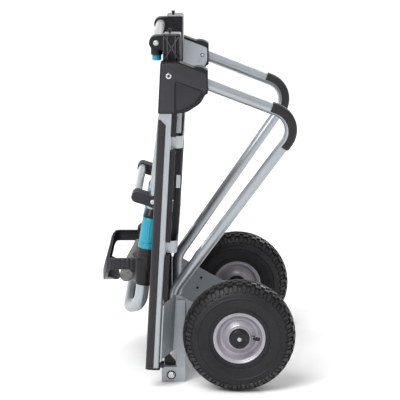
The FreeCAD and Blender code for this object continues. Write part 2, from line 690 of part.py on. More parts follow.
def make_arm_bolt():
    head = rod_y(0, ARM_Z, 6.5, (ARM_Y[1], ARM_Y[1] + 3))
    shank = rod_y(0, ARM_Z, SCREW_R, (LEG_Y, ARM_Y[1] + 1)).cut(leg_beside_arm())
    return on_leg(fuse([head, shank]))


def make_ferrule():
    """Tapered end ring where the leg slides into the outer tube, with the bush that guides it."""
    top, low = FERRULE
    cone = Part.makeCone(12.6, 18.0, top - low - 6, leg_point(top), DOWN)
    foot = rod(leg_point(low), leg_point(low + 6), COLLAR_R[0])
    bush = rod(leg_point(low - 40), leg_point(low), GRIP_R - GRIP_WALL)
    wide = rod(leg_point(low - 1), leg_point(top + 1), LEG_R + GAP)
    close = rod(leg_point(low - 41), leg_point(low), LEG_R + RUN)
    return on_leg(cut(fuse([cone, foot, bush]), [wide, close]))


def make_collar():
    """Twist collar that locks the telescopic handle."""
    top, low = COLLAR
    lower_r = COLLAR_R[1]
    body = Part.makeCone(COLLAR_R[0], lower_r - 0.5, top - low - 14, leg_point(top), DOWN)
    neck = rod(leg_point(low + 11), leg_point(low + 15), lower_r - 1.6)
    foot = rod(leg_point(low), leg_point(low + 12), lower_r)
    return on_leg(fuse([body, neck, foot]).cut(rod(leg_point(low - 1), leg_point(top + 1), GRIP_R + GAP)))


def u_path():
    right = [leg_point(FERRULE[1]), U_DROP, U_TURN]
    return right + [V(p.x, -p.y, p.z) for p in reversed(right)]


def make_u_tube():
    return on_leg(tube(u_path(), U_BEND, GRIP_R, GRIP_R - GRIP_WALL))


def sleeve_cone(extra):
    return Part.makeCone(SLEEVE_R[0] + extra, SLEEVE_R[1] + extra, SLEEVE[0] - SLEEVE[1],
                         leg_point(SLEEVE[0]), DOWN)


def make_sleeve():
    return on_leg(sleeve_cone(0).cut(tube(u_path(), U_BEND, GRIP_R)))


# The guard and the grip bar arch across between the two sleeves. They are drawn where they lie when
# the handle is folded.
MOUNT_Z = (240.0, 296.0)
ARCH_Y = 150.0
GUARD_T = 8.0
GUARD_ENDS = (260.0, 287.0)
GUARD_MIDDLE = (204.0, 232.0)
GUARD_SIDE = 156.0
GUARD_ROOT = -238.0
GUARD_CORNER = -300.0
GRIP_BAR_R = 12.5
GRIP_BAR_END = V(-243, 138, 257)
GRIP_BAR_MIDDLE = V(-273, 0, 213)


def arc_3(a, b, c):
    return Part.Arc(a, b, c).toShape()


def arch_height(y, middle, end):
    """Height at y of the circular arch that is at middle in the centre and at end at ARCH_Y."""
    rise = end - middle
    radius = (ARCH_Y ** 2 + rise ** 2) / (2 * rise)
    return middle + radius - math.sqrt(radius ** 2 - y ** 2)


def make_guard():
    """Knuckle guard: a flat bow, rounded in plan and arched, in front of the grip bar."""
    def bow(inset):
        side = GUARD_SIDE - inset
        front = GUARD_CORNER + inset
        apex = -FRONT_REACH + inset
        turn = 26.0 - inset
        edges = []
        for s in (-1, 1):
            corner = V(front + turn, s * side, 0)
            edges.append(Part.LineSegment(V(GUARD_ROOT, s * side, 0), corner).toShape())
            edges.append(arc_3(corner, V(front + turn * 0.33, s * (side - turn * 0.27), 0),
                               V(front - 1, s * (side - turn), 0)))
        edges.append(arc_3(V(front - 1, turn - side, 0), V(apex, 0, 0), V(front - 1, side - turn, 0)))
        edges.append(Part.LineSegment(V(GUARD_ROOT, -side, 0), V(GUARD_ROOT, side, 0)).toShape())
        return Part.Face(Part.Wire(Part.__sortEdges__(edges))).extrude(V(0, 0, 400))

    side = 165.0
    lower, upper = (V(-400, side, arch_height(side, m, e)) for m, e in zip(GUARD_MIDDLE, GUARD_ENDS))
    lines = [arc_3(V(lower.x, -side, lower.z), V(-400, 0, GUARD_MIDDLE[0]), lower),
             Part.LineSegment(lower, upper).toShape(),
             arc_3(upper, V(-400, 0, GUARD_MIDDLE[1]), V(upper.x, -side, upper.z)),
             Part.LineSegment(V(upper.x, -side, upper.z), V(lower.x, -side, lower.z)).toShape()]
    arch = Part.Face(Part.Wire(lines)).extrude(V(300, 0, 0))
    return bow(0).cut(bow(GUARD_T)).common(arch)


def make_grip_bar():
    """Soft grip bar, arched like the guard and behind it."""
    left = V(GRIP_BAR_END.x, -GRIP_BAR_END.y, GRIP_BAR_END.z)
    middle = Part.Arc(left, GRIP_BAR_MIDDLE, GRIP_BAR_END).toShape().Curve.Center
    axis = (GRIP_BAR_MIDDLE - middle).cross(GRIP_BAR_END - middle).normalize()
    angle = 2 * math.degrees((GRIP_BAR_MIDDLE - middle).getAngle(GRIP_BAR_END - middle))
    section = Part.Face(Part.Wire(Part.makeCircle(GRIP_BAR_R, left, axis.cross(left - middle))))
    return section.revolve(middle, axis, angle)


def make_grip_mount():
    """Moulded mount clamped round the sleeve; it holds one end of the guard and of the grip bar."""
    body = slab_z([(-248, 131, 5), (-248, 160, 6), (-238, 206, 12), (-205, 206, 14), (-205, 168, 12),
                   (-230, 131, 6)], MOUNT_Z)
    return cut(body, [on_leg(sleeve_cone(0)), make_guard(), make_grip_bar()])


# ---- build everything ---------------------------------------------------------------------
def main():
    os.makedirs("parts", exist_ok=True)
    pairs = {
        "tyre": make_tyre, "inner_tube": make_inner_tube, "rim": make_rim,
        "wheel_bearings": make_bearings,
        "rail": make_rail, "top_cover": make_top_cover, "loop_tube": make_loop, "skid_pad": make_skid_pad,
        "wheel_bracket": make_wheel_bracket, "hinge_cheek": make_hinge_cheek, "hinge_block": make_hinge_block,
        "release_button": make_release_button, "leg_tube": make_leg, "crossbar_arm": make_crossbar_arm,
        "twist_collar": make_collar, "grip_sleeve": make_sleeve,
    }
    groups = {
        "glide_strips": make_glide_strip, "rail_caps": make_rail_cap, "rear_strips": make_rear_strip,
        "top_plates": make_top_plate, "tube_clamps": make_tube_clamp, "clamp_bolts": make_clamp_bolt,
        "cover_screws": make_cover_screw, "axle_spacers": make_spacer, "axle_caps": make_axle_cap,
        "foot_blocks": make_foot, "foot_channels": make_foot_channel, "foot_bolts": make_foot_bolt,
        "hinge_pins": make_hinge_pin, "hinge_straps": make_hinge_strap, "boss_bolts": make_boss_bolt,
        "arm_bolts": make_arm_bolt, "ferrules": make_ferrule, "grip_mounts": make_grip_mount,
    }
    singles = {
        "axle": make_axle, "back_panel": make_back_panel, "rating_plate": make_label,
        "toe_plate": make_toe_plate, "upper_crossbar": make_upper_crossbar,
        "lower_crossbar": make_lower_crossbar, "grip_tube": make_u_tube, "knuckle_guard": make_guard,
        "grip_bar": make_grip_bar, "cross_members": make_cross_members,
    }
    for name, make in pairs.items():
        save_pair(name, make())
    for name, make in groups.items():
        save_group(name, make())
    for name, make in singles.items():
        save(name, make())


main()
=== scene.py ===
import json
import math

import bmesh
import bpy
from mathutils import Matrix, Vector


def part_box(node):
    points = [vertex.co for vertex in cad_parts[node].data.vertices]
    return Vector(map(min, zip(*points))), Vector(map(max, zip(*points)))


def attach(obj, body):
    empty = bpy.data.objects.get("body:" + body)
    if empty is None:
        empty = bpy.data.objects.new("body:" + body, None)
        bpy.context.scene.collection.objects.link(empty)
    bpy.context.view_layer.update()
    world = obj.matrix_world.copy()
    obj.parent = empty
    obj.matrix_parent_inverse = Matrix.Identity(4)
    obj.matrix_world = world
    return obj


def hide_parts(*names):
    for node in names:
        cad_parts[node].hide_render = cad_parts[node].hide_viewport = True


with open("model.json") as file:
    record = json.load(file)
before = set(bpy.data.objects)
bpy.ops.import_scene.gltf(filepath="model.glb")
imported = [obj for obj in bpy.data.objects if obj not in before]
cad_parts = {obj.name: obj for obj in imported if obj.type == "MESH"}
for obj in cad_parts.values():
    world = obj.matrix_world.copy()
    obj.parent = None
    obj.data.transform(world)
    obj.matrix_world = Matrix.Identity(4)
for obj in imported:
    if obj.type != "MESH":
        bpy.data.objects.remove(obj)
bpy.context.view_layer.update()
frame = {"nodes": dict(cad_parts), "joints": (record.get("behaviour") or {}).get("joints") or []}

# Folding platform cart: materials, the pieces that replace or add to the CAD nodes, light, camera.
# Lengths in the tables are in mm.
MM = 0.001
UP = Vector((0, 0, 1))
ACROSS = Vector((0, 1, 0))
SIDES = (("left", -1), ("right", 1))
JOINTS = {joint["name"]: joint for joint in frame["joints"]}


# ---- where things are ----
def joint_at(name):
    """A point on the joint's axis."""
    return Vector(JOINTS[name]["pos_m"])


def wheel_middle(side):
    return joint_at("wheel_" + side + "_spin")


HINGE = joint_at("handle_fold")
LEG_DOWN = Vector(JOINTS["grip_slide"]["axis"]).normalized()
LEG_Y = joint_at("collar_right_twist").y
LEAN = math.radians(3.1)  # the rails lean back
LEG_LEAN = math.radians(7)  # the handle's legs, folded


def on_leg(sign, down):
    """The middle of a handle leg, at a distance in mm down it from the hinge."""
    return Vector((HINGE.x, sign * LEG_Y, HINGE.z)) + LEG_DOWN * (down * MM)


def outward(sign):
    """Across the cart, to the left for -1 and to the right for 1."""
    return Vector((0, sign, 0))


def side_face(box, sign):
    """The y of a box's left or right face."""
    low, high = box
    return high.y if sign > 0 else low.y


def side_middle(box, sign):
    """The middle of a box's left or right face."""
    low, high = box
    return Vector(((low.x + high.x) / 2, side_face(box, sign), (low.z + high.z) / 2))


# ---- materials ----
MIX_A, MIX_B, MIX_COLOUR = 6, 7, 2      # a Mix node's sockets when it mixes colours


def colour_ramp(nodes, stops):
    """A ramp node with a (position, colour) for each stop."""
    node = nodes.new("ShaderNodeValToRGB")
    elements = node.color_ramp.elements
    while len(elements) < len(stops):
        elements.new(0.5)
    for element, (position, colour) in zip(elements, stops):
        element.position = position
        element.color = (*colour, 1)
    return node


class Shader:
    """A principled material with a few helpers for procedural detail."""

    def __init__(self, name, metallic=0.0, **sockets):
        self.material = bpy.data.materials.new(name)
        self.material.use_nodes = True
        self.nodes = self.material.node_tree.nodes
        self.links = self.material.node_tree.links
        self.bsdf = self.nodes["Principled BSDF"]
        self.bsdf.inputs["Metallic"].default_value = metallic
        for socket, value in sockets.items():
            self.bsdf.inputs[socket.replace("_", " ")].default_value = value
        self.coords = self.nodes.new("ShaderNodeTexCoord").outputs["Object"]

    def mapped(self, scale, rotation):
        node = self.nodes.new("ShaderNodeMapping")
        node.inputs["Scale"].default_value = scale
        node.inputs["Rotation"].default_value = rotation
        self.links.new(self.coords, node.inputs["Vector"])
        return node.outputs["Vector"]

    def noise(self, scale, detail, roughness=0.55, vector=None, distortion=0.0):
        node = self.nodes.new("ShaderNodeTexNoise")
        node.inputs["Scale"].default_value = scale
        node.inputs["Detail"].default_value = detail
        node.inputs["Roughness"].default_value = roughness
        node.inputs["Distortion"].default_value = distortion
        self.links.new(vector or self.coords, node.inputs["Vector"])
        return node.outputs["Fac"]

    def voronoi(self, scale):
        node = self.nodes.new("ShaderNodeTexVoronoi")
        node.inputs["Scale"].default_value = scale
        self.links.new(self.coords, node.inputs["Vector"])
        return node.outputs["Distance"]

    def spread(self, value, low, high):
        """A noise's middle range becomes a number between low and high."""
        node = self.nodes.new("ShaderNodeMapRange")
        node.inputs["From Min"].default_value = 0.3
        node.inputs["From Max"].default_value = 0.7
        node.inputs["To Min"].default_value = low
        node.inputs["To Max"].default_value = high
        self.links.new(value, node.inputs["Value"])
        return node.outputs["Result"]

    def ramp(self, value, *stops):
        node = colour_ramp(self.nodes, stops)
        self.links.new(value, node.inputs["Fac"])
        return node.outputs["Color"]

    def mix(self, factor, a, b):
        node = self.nodes.new("ShaderNodeMix")
        node.data_type = "RGBA"
        self.links.new(factor, node.inputs["Factor"])
        self.links.new(a, node.inputs[MIX_A])
        self.links.new(b, node.inputs[MIX_B])
        return node.outputs[MIX_COLOUR]

    def bump(self, *layers):
        """Layers of (height, strength, distance in mm), one over the other."""
        normal = None
        for height, strength, distance in layers:
            node = self.nodes.new("ShaderNodeBump")
            node.inputs["Strength"].default_value = strength
            node.inputs["Distance"].default_value = distance * MM
            self.links.new(height, node.inputs["Height"])
            if normal:
                self.links.new(normal, node.inputs["Normal"])
            normal = node.outputs["Normal"]
        self.links.new(normal, self.bsdf.inputs["Normal"])

    def done(self, colour, roughness):
        self.links.new(colour, self.bsdf.inputs["Base Color"])
        self.links.new(roughness, self.bsdf.inputs["Roughness"])
        return self.material


def scaled(colour, factor):
    return tuple(min(1.0, c * factor) for c in colour)


def lifted(colour, amount):
    return tuple(c + amount for c in colour)


def brushed(name, colour, roughness, stretch, rotation, metallic):
    """Metal with fine lines along the axis where stretch is small, plus faint smudges."""
    shader = Shader(name, metallic=metallic)
    looser = tuple(0.25 + 0.75 * s for s in stretch)
    lines = shader.noise(900, 3, 0.6, shader.mapped(stretch, rotation))
    smudge = shader.noise(14, 5, 0.6)
    scratch = shader.noise(260, 2, 0.5, shader.mapped(looser, rotation))
    base = shader.ramp(lines, (0.30, scaled(colour, 0.90)), (0.70, scaled(colour, 1.06)))
    worn = shader.ramp(smudge, (0.35, scaled(colour, 0.93)), (0.65, colour))
    mixed = shader.mix(shader.spread(scratch, 0.15, 0.5), base, worn)
    shader.bump((lines, 0.07, 0.04), (scratch, 0.02, 0.05))
    return shader.done(mixed, shader.spread(smudge, roughness - 0.03, roughness + 0.05))


def satin_metal(name, colour, roughness, metallic):
    """Anodised or bent tube: a very fine even grain and soft smudges."""
    shader = Shader(name, metallic=metallic)
    grain = shader.noise(1500, 2, 0.6)
    smudge = shader.noise(10, 5, 0.62, distortion=0.4)
    handling = shader.noise(55, 4, 0.6)
    base = shader.ramp(smudge, (0.30, scaled(colour, 0.93)), (0.72, scaled(colour, 1.04)))
    darker = shader.ramp(handling, (0.40, scaled(colour, 0.90)), (0.62, colour))
    shader.bump((grain, 0.06, 0.02), (handling, 0.01, 0.1))
    return shader.done(shader.mix(shader.spread(grain, 0.1, 0.35), base, darker),
                       shader.spread(handling, roughness - 0.02, roughness + 0.05))


def moulded(name, colour, roughness, grain=0.25, grain_scale=1100):
    """Moulded plastic: spark-eroded grain, slight colour drift and a little dust."""
    shader = Shader(name, Specular_IOR_Level=0.30)
    cells = shader.voronoi(grain_scale)
    fine = shader.noise(grain_scale * 1.7, 3, 0.6)
    drift = shader.noise(9, 4, 0.55)
    dust = shader.noise(70, 6, 0.7)
    base = shader.ramp(drift, (0.32, scaled(colour, 0.86)), (0.70, scaled(colour, 1.16)))
    dusty = shader.ramp(dust, (0.55, colour), (0.80, lifted(scaled(colour, 1.25), 0.012)))
    shader.bump((cells, grain, 0.12), (fine, grain * 0.6, 0.05))
    return shader.done(shader.mix(shader.spread(dust, 0.1, 0.6), base, dusty),
                       shader.spread(dust, roughness - 0.05, roughness + 0.09))


def gloss(name, colour, roughness, coat):
    """Coloured plastic with a thin clear shine."""
    shader = Shader(name, Coat_Weight=coat, Coat_Roughness=0.18)
    drift = shader.noise(12, 4, 0.5)
    speck = shader.noise(420, 3, 0.6)
    base = shader.ramp(drift, (0.30, scaled(colour, 0.90)), (0.72, scaled(colour, 1.10)))
    other = shader.ramp(speck, (0.35, scaled(colour, 0.94)), (0.65, scaled(colour, 1.05)))
    shader.bump((speck, 0.06, 0.06), (drift, 0.05, 0.4))
    return shader.done(shader.mix(shader.spread(speck, 0.2, 0.5), base, other),
                       shader.spread(drift, roughness - 0.04, roughness + 0.06))


def rubber(name, colour, roughness, bloom):
    """Tyre and pad rubber with a dry bloom in patches and a pebbled skin."""
    shader = Shader(name, Specular_IOR_Level=0.28)
    patch = shader.noise(22, 6, 0.65)
    pebble = shader.noise(700, 4, 0.6)
    streak = shader.noise(160, 5, 0.7)
    base = shader.ramp(patch, (0.34, colour), (0.72, lifted(colour, bloom)))
    dry = shader.ramp(streak, (0.45, scaled(colour, 0.85)), (0.78, lifted(colour, bloom * 1.6)))
    shader.bump((pebble, 0.35, 0.12), (streak, 0.2, 0.25))
    return shader.done(shader.mix(shader.spread(streak, 0.15, 0.55), base, dry),
                       shader.spread(patch, roughness - 0.08, roughness + 0.08))


def painted(name, colour, roughness, metallic=0.0, peel=0.06):
    """Powder coat or lacquer with a slight orange peel."""
    shader = Shader(name, metallic=metallic, Coat_Weight=0.15, Coat_Roughness=0.3)
    skin_grain = shader.noise(520, 2, 0.5)
    drift = shader.noise(8, 5, 0.6)
    scuff = shader.noise(95, 6, 0.75)
    base = shader.ramp(drift, (0.32, scaled(colour, 0.92)), (0.70, scaled(colour, 1.07)))
    worn = shader.ramp(scuff, (0.50, scaled(colour, 0.97)), (0.78, scaled(colour, 1.18)))
    shader.bump((skin_grain, peel, 0.15), (scuff, 0.03, 0.1))
    return shader.done(shader.mix(shader.spread(scuff, 0.1, 0.5), base, worn),
                       shader.spread(scuff, roughness - 0.05, roughness + 0.1))


SILVER = (0.395, 0.425, 0.450)
BRIGHT = (0.64, 0.65, 0.65)
ALONG_Z = (1, 1, 0.012)
ALONG_Y = (1, 0.012, 1)
LEVEL = (0, 0, 0)
FINE = 1500  # scale of the finer moulded grain
MATERIALS = {
    "rail": brushed("brushed_rail", SILVER, 0.33, ALONG_Z, (0, LEAN, 0), 0.85),
    "strap": brushed("brushed_strap", scaled(SILVER, 1.05), 0.34, ALONG_Y, LEVEL, 0.85),
    "leg": brushed("brushed_leg", scaled(SILVER, 1.12), 0.28, ALONG_Z, (0, LEG_LEAN, 0), 0.9),
    "bar": brushed("bright_bar", BRIGHT, 0.22, ALONG_Y, LEVEL, 0.5),
    "tube": satin_metal("anodised_tube", scaled(SILVER, 0.98), 0.35, 0.84),
    "grip_tube": satin_metal("anodised_grip_tube", scaled(SILVER, 1.04), 0.32, 0.78),
    "plate": satin_metal("satin_plate", SILVER, 0.40, 0.6),
    "steel": satin_metal("zinc_steel", (0.60, 0.61, 0.63), 0.24, 0.9),
    "bracket": painted("bracket_paint", (0.320, 0.350, 0.375), 0.36, 0.3),
    "rim": painted("rim_lacquer", (0.345, 0.330, 0.368), 0.30, 0.35, 0.008),
    "black": moulded("black_moulding", (0.0085, 0.0085, 0.0105), 0.34),
    "black_fine": moulded("black_fine_moulding", (0.0065, 0.0065, 0.008), 0.30, 0.14, FINE),
    "cover": moulded("cover_moulding", (0.019, 0.0195, 0.024), 0.38, 0.2),
    "toe": moulded("toe_moulding", (0.017, 0.017, 0.019), 0.42, 0.2),
    "strip": moulded("strip_moulding", (0.018, 0.0165, 0.020), 0.40, 0.12),
    "guard": moulded("guard_moulding", (0.016, 0.0155, 0.020), 0.28, 0.12, FINE),
    "sleeve": moulded("sleeve_moulding", (0.015, 0.012, 0.014), 0.48, 0.2),
    "teal": gloss("teal_moulding", (0.003, 0.250, 0.350), 0.34, 0.2),
    "tyre": rubber("tyre_rubber", (0.0060, 0.0060, 0.0075), 0.50, 0.011),
    "tread": rubber("tread_rubber", (0.0075, 0.0075, 0.0085), 0.40, 0.014),
    "cover_rim": moulded("cover_rim_moulding", (0.026, 0.0265, 0.031), 0.36, 0.2),
    # The rib crests are a lighter black than the cheeks: a painted highlight for the glint on the
    # ribs' edges.
    "rib": moulded("rib_crest_painted_glint", (0.060, 0.060, 0.066), 0.30, 0.14, FINE),
    "pad": rubber("pad_rubber", (0.012, 0.0115, 0.013), 0.52, 0.007),
    "grip": rubber("grip_rubber", (0.150, 0.152, 0.136), 0.62, 0.03),
    "label": painted("label_plastic", (0.55, 0.56, 0.57), 0.5),
    "white": painted("white_zinc", (0.72, 0.72, 0.71), 0.36, 0.3),
}


def both(*nodes):
    """The left and right node of each name."""
    return tuple(node + "_" + side for node in nodes for side, _ in SIDES)


NODE_LOOKS = {
    "rail": both("rail"),
    "strap": ("cross_members",),
    "leg": both("leg_tube"),
    "bar": ("upper_crossbar", "lower_crossbar", "axle"),
    "tube": both("loop_tube"),
    "grip_tube": ("grip_tube",),
    "plate": ("top_plates", "clamp_bolts", "axle_spacers", "foot_blocks"),
    "steel": ("foot_bolts", "boss_bolts"),
    "bracket": both("wheel_bracket") + ("foot_channels", "hinge_straps"),
    "rim": both("rim"),
    "black": ("rail_caps", "rear_strips", "back_panel", "tube_clamps", "ferrules", "grip_mounts"),
    "black_fine": both("hinge_block", "top_cover", "hinge_cheek", "wheel_bearings")
                  + ("knuckle_guard", "axle_caps", "cover_screws", "hinge_pins", "toe_plate"),
    "cover": both("crossbar_arm"),
    "strip": ("glide_strips",),
    "sleeve": both("grip_sleeve"),
    "teal": both("twist_collar", "release_button"),
    "tyre": both("tyre", "inner_tube"),
    "pad": both("skid_pad"),
    "grip": ("grip_bar",),
    "label": ("rating_plate",),
    "white": ("arm_bolts",),
}

# Bevel width for the nodes with sharp edges.
SOFT_EDGES = {
    0.7: both("hinge_block", "crossbar_arm", "top_cover")
         + ("rail_caps", "rear_strips", "back_panel", "toe_plate", "grip_mounts", "tube_clamps"),
    0.4: both("wheel_bracket", "hinge_cheek", "skid_pad")
         + ("foot_channels", "foot_blocks", "cross_members", "top_plates", "hinge_straps",
            "hinge_pins", "glide_strips", "rating_plate", "ferrules", "axle_spacers",
            "clamp_bolts"),
}


def dress_cad():
    """Every CAD node gets its material, and those with sharp edges get small bevels."""
    for width, nodes in SOFT_EDGES.items():
        for node in nodes:
            bevel = frame["nodes"][node].modifiers.new("soft_edges", "BEVEL")
            bevel.width = width * MM
            bevel.segments = 2
            bevel.limit_method = "ANGLE"
            bevel.angle_limit = math.radians(40)
            bevel.harden_normals = True
    for look, nodes in NODE_LOOKS.items():
        for node in nodes:
            mesh = frame["nodes"][node].data
            mesh.materials.clear()
            mesh.materials.append(MATERIALS[look])


# ---- mesh building ----
def mesh_from(name, bm):
    bmesh.ops.recalc_face_normals(bm, faces=bm.faces)
    mesh = bpy.data.meshes.new(name)
    bm.to_mesh(mesh)
    bm.free()
    return mesh


def add_piece(name, bm, look, body, sharp=35, replaces=()):
    """A visible piece that rides on a body. Edges above sharp degrees stay crisp."""
    mesh = mesh_from(name, bm)
    piece = bpy.data.objects.new(name, mesh)
    bpy.context.scene.collection.objects.link(piece)
    mesh.materials.append(MATERIALS[look])
    for polygon in mesh.polygons:
        polygon.use_smooth = True
    mesh.set_sharp_from_angle(angle=math.radians(sharp))
    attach(piece, body)
    if replaces:
        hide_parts(*replaces)


def skin(bm, rings, closed=False):
    """Quads between rings of equal length, joined into a loop or capped at both ends."""
    loops = [[bm.verts.new(p) for p in ring_points] for ring_points in rings]
    count = len(loops[0])
    pairs = list(zip(loops, loops[1:]))
    if closed:
        pairs.append((loops[-1], loops[0]))
    for a, b in pairs:
        for i in range(count):
            j = (i + 1) % count
            bm.faces.new((a[i], a[j], b[j], b[i]))
    if not closed:
        bm.faces.new(loops[0])
        bm.faces.new(list(reversed(loops[-1])))


def basis(axis):
    """Two directions square to axis."""
    axis = axis.normalized()
    first = axis.orthogonal().normalized() if abs(axis.y) < 0.9 else Vector((1, 0, 0))
    first = (first - axis * first.dot(axis)).normalized()
    return first, axis.cross(first)


def ring(centre, axis, radius, count):
    u, v = basis(axis)
    turns = [math.tau * i / count for i in range(count)]
    return [centre + (u * math.cos(turn) + v * math.sin(turn)) * radius for turn in turns]


def hexagon_ring(centre, axis, radius, count):
    """A hexagon's outline as count points, count a multiple of six."""
    u, v = basis(axis)
    per_side = count // 6
    turns = [math.tau * k / 6 for k in range(7)]
    corners = [Vector((math.cos(turn), math.sin(turn))) for turn in turns]
    points = []
    for a, b in zip(corners, corners[1:]):
        for k in range(per_side):
            p = a.lerp(b, k / per_side) * radius
            points.append(centre + u * p.x + v * p.y)
    return points


def lathe(bm, centre, axis, profile, count, closed=False):
    """Turns a profile of (radius, offset along the axis) in mm. closed joins its two ends."""
    axis = axis.normalized()
    rings = [ring(centre + axis * (z * MM), axis, r * MM, count) for r, z in profile]
    skin(bm, rings, closed=closed)


def smooth_line(points, steps):
    """Catmull-Rom through the points, with the ends doubled."""
    ends = [points[0]] + list(points) + [points[-1]]
    line = []
    for corners in zip(ends, ends[1:], ends[2:], ends[3:]):
        for k in range(steps):
            t = k / steps
            line.append(tuple(0.5 * (2 * q + (r - p) * t + (2 * p - 5 * q + 4 * r - s) * t ** 2
                                     + (3 * q - p - 3 * r + s) * t ** 3)
                              for p, q, r, s in zip(*corners)))
    line.append(tuple(points[-1]))
    return line


def inset(outline, distance):
    """The outline of (x, z) points moved inwards all round."""
    following = outline[1:] + outline[:1]
    area = sum(a[0] * b[1] - b[0] * a[1] for a, b in zip(outline, following))
    turn = 1 if area > 0 else -1
    moved = []
    for i, point in enumerate(outline):
        here = Vector(point)
        before = (here - Vector(outline[i - 1])).normalized()
        after = (Vector(outline[(i + 1) % len(outline)]) - here).normalized()
        first = Vector((-before.y, before.x)) * turn
        second = Vector((-after.y, after.x)) * turn
        halfway = (first + second).normalized()
        moved.append(here + halfway * (distance / max(0.5, halfway.dot(first))))
    return moved


TILE_ROOT = -0.6  # a tile starts inside the face it stands on


def tile(bm, outline, place, height, bevel):
    """A flat plate with a rounded edge. place puts an outline point and a height in mm in space."""
    rings = []
    for out, amount in ((TILE_ROOT, 0), (height - bevel, 0),
                        (height - bevel * 0.3, bevel * 0.3), (height, bevel)):
        rings.append([place(a, b, out) for a, b in inset(outline, amount)])
    skin(bm, rings)


def raised_plate(bm, outline, corner, face, sign, height, bevel):
    """A tile on a left or right face at y = face. outline is in mm from corner."""
    def place(a, b, out):
        return Vector((corner.x + a * MM, face + sign * out * MM, corner.z + b * MM))

    tile(bm, outline, place, height, bevel)


def rounded_tile(left, right, low, high, radius):
    """Outline of a rectangle with rounded corners."""
    corners = ((left + radius, low + radius), (left + radius, high - radius),
               (right - radius, high - radius), (right - radius, low + radius))
    steps = 3
    outline = []
    for k, (a, b) in enumerate(corners):
        for step in range(steps + 1):
            turn = math.pi * 1.5 - math.pi / 2 * (k + step / steps)
            outline.append((a + radius * math.cos(turn), b + radius * math.sin(turn)))
    return outline


def strip(start, end, width):
    """A straight strip's outline from start to end."""
    along = (Vector(end) - Vector(start)).normalized()
    half = Vector((-along.y, along.x)) * width / 2
    return [Vector(start) + half, Vector(end) + half, Vector(end) - half, Vector(start) - half]


# ---- wheels ----
# Half of the tyre's outer skin as (radius, offset from the middle), from the crown to the bead.
CARCASS = [(125.9, 0), (125.2, 9), (122.8, 19), (117.6, 29), (108.8, 36.6), (98.0, 40.6),
           (86.0, 40.8), (74.0, 38.2), (66.0, 35.4), (61.5, 34.0)]
CARCASS_STEPS = 8
TYRE_INSIDE = [(60.6, 32.4), (60.4, 30.4), (53.0, 29.6), (52.0, 25.0), (58.0, 20.0)]
RIDGE_RADII = (69, 95.5)  # raised rings on the sidewall
RIDGE_HALF_WIDTH = 1.3
RIDGE_HEIGHT = 1.5

# Tread blocks as (mm round the wheel, mm across) from each block's middle.
DIAMOND = ((-8.4, 0), (-2.2, -5.4), (2.2, -5.4), (8.4, 0), (2.2, 5.4), (-2.2, 5.4))
CHEVRON = ((-7.4, -3.6), (0, -5.8), (7.4, -3.6), (6.2, 4.4), (0, 2.6), (-6.2, 4.4))
LUG = ((-5.0, -8.0), (0, -9.4), (5.0, -8.0), (4.0, 9.0), (-4.0, 9.0))
SMALL_LUG = ((-3.4, -7.0), (3.4, -7.0), (2.4, 4.5), (-2.4, 4.5))
TREAD_PITCHES = 36
KNOB = 3.9  # height of a block
KNOB_RADIUS = 118  # where a block's mm round the wheel are measured
# Rows on each side of the crown: block, distance across, shift round in pitches, height.
TREAD_ROWS = ((CHEVRON, 10.5, 0.5, KNOB), (CHEVRON, 20.0, 0, KNOB),
              (LUG, 33.5, 0.5, KNOB * 0.9), (SMALL_LUG, 36.5, 0, KNOB * 0.7))


class TyreSurface:
    """The tyre's outer skin, by angle round the wheel and distance across from the crown."""

    def __init__(self, centre):
        self.centre = centre
        self.line = smooth_line(CARCASS, CARCASS_STEPS)
        self.lengths = [0.0]
        for (r0, y0), (r1, y1) in zip(self.line, self.line[1:]):
            self.lengths.append(self.lengths[-1] + math.hypot(r1 - r0, y1 - y0))

    def across(self, distance):
        """(radius, offset, normal) at a distance in mm from the crown; negative is to the left."""
        side = -1 if distance < 0 else 1
        distance = min(abs(distance), self.lengths[-1] - 1e-6)
        i = max(k for k, length in enumerate(self.lengths) if length <= distance)
        t = (distance - self.lengths[i]) / (self.lengths[i + 1] - self.lengths[i])
        (r0, y0), (r1, y1) = self.line[i], self.line[i + 1]
        along = Vector((r1 - r0, y1 - y0)).normalized()
        normal = Vector((along.y, side * -along.x))
        return r0 + (r1 - r0) * t, side * (y0 + (y1 - y0) * t), normal

    def point(self, angle, distance, out):
        radius, offset, normal = self.across(distance)
        radius = (radius + abs(normal.x) * out) * MM
        offset = (offset + normal.y * out) * MM
        return self.centre + Vector((radius * math.cos(angle), offset, radius * math.sin(angle)))


def knob(bm, surface, angle, distance, corners, height):
    """A tapered block on the tyre, rooted a little below its skin."""
    rings = []
    for out, size in ((-0.8, 1.06), (height * 0.82, 0.93), (height, 0.84)):
        rings.append([surface.point(angle + a * size / KNOB_RADIUS, distance + d * size, out)
                      for a, d in corners])
    skin(bm, rings)


def make_tyre(side):
    """Carcass with ridged sidewalls, and the tread blocks as a piece of their own."""
    centre = wheel_middle(side)
    surface = TyreSurface(centre)
    half = []
    for r, y in surface.line:
        on_ridge = any(abs(r - at) < RIDGE_HALF_WIDTH for at in RIDGE_RADII)
        half.append((r, y + RIDGE_HEIGHT * on_ridge))
    half += TYRE_INSIDE
    profile = [(r, -y) for r, y in reversed(half)] + half[1:]
    bm = bmesh.new()
    lathe(bm, centre, ACROSS, profile, 144, closed=True)
    add_piece("tyre_carcass_" + side, bm, "tyre", "wheel_" + side, 40, ("tyre_" + side,))
    bm = bmesh.new()
    pitch = math.tau / TREAD_PITCHES
    for i in range(TREAD_PITCHES):
        at = i * pitch
        knob(bm, surface, at, 0, DIAMOND, KNOB)
        for s in (-1, 1):
            for block, distance, shift, height in TREAD_ROWS:
                corners = [(a, d * s) for a, d in block]
                knob(bm, surface, at + pitch * shift, s * distance, corners, height)
    add_piece("tyre_tread_" + side, bm, "tread", "wheel_" + side, 30)


# The valve's tip from the wheel's middle and the way it leans, as (x, outward).
VALVE_TIP = (46, 38.5)
VALVE_AXIS = (14, 9)
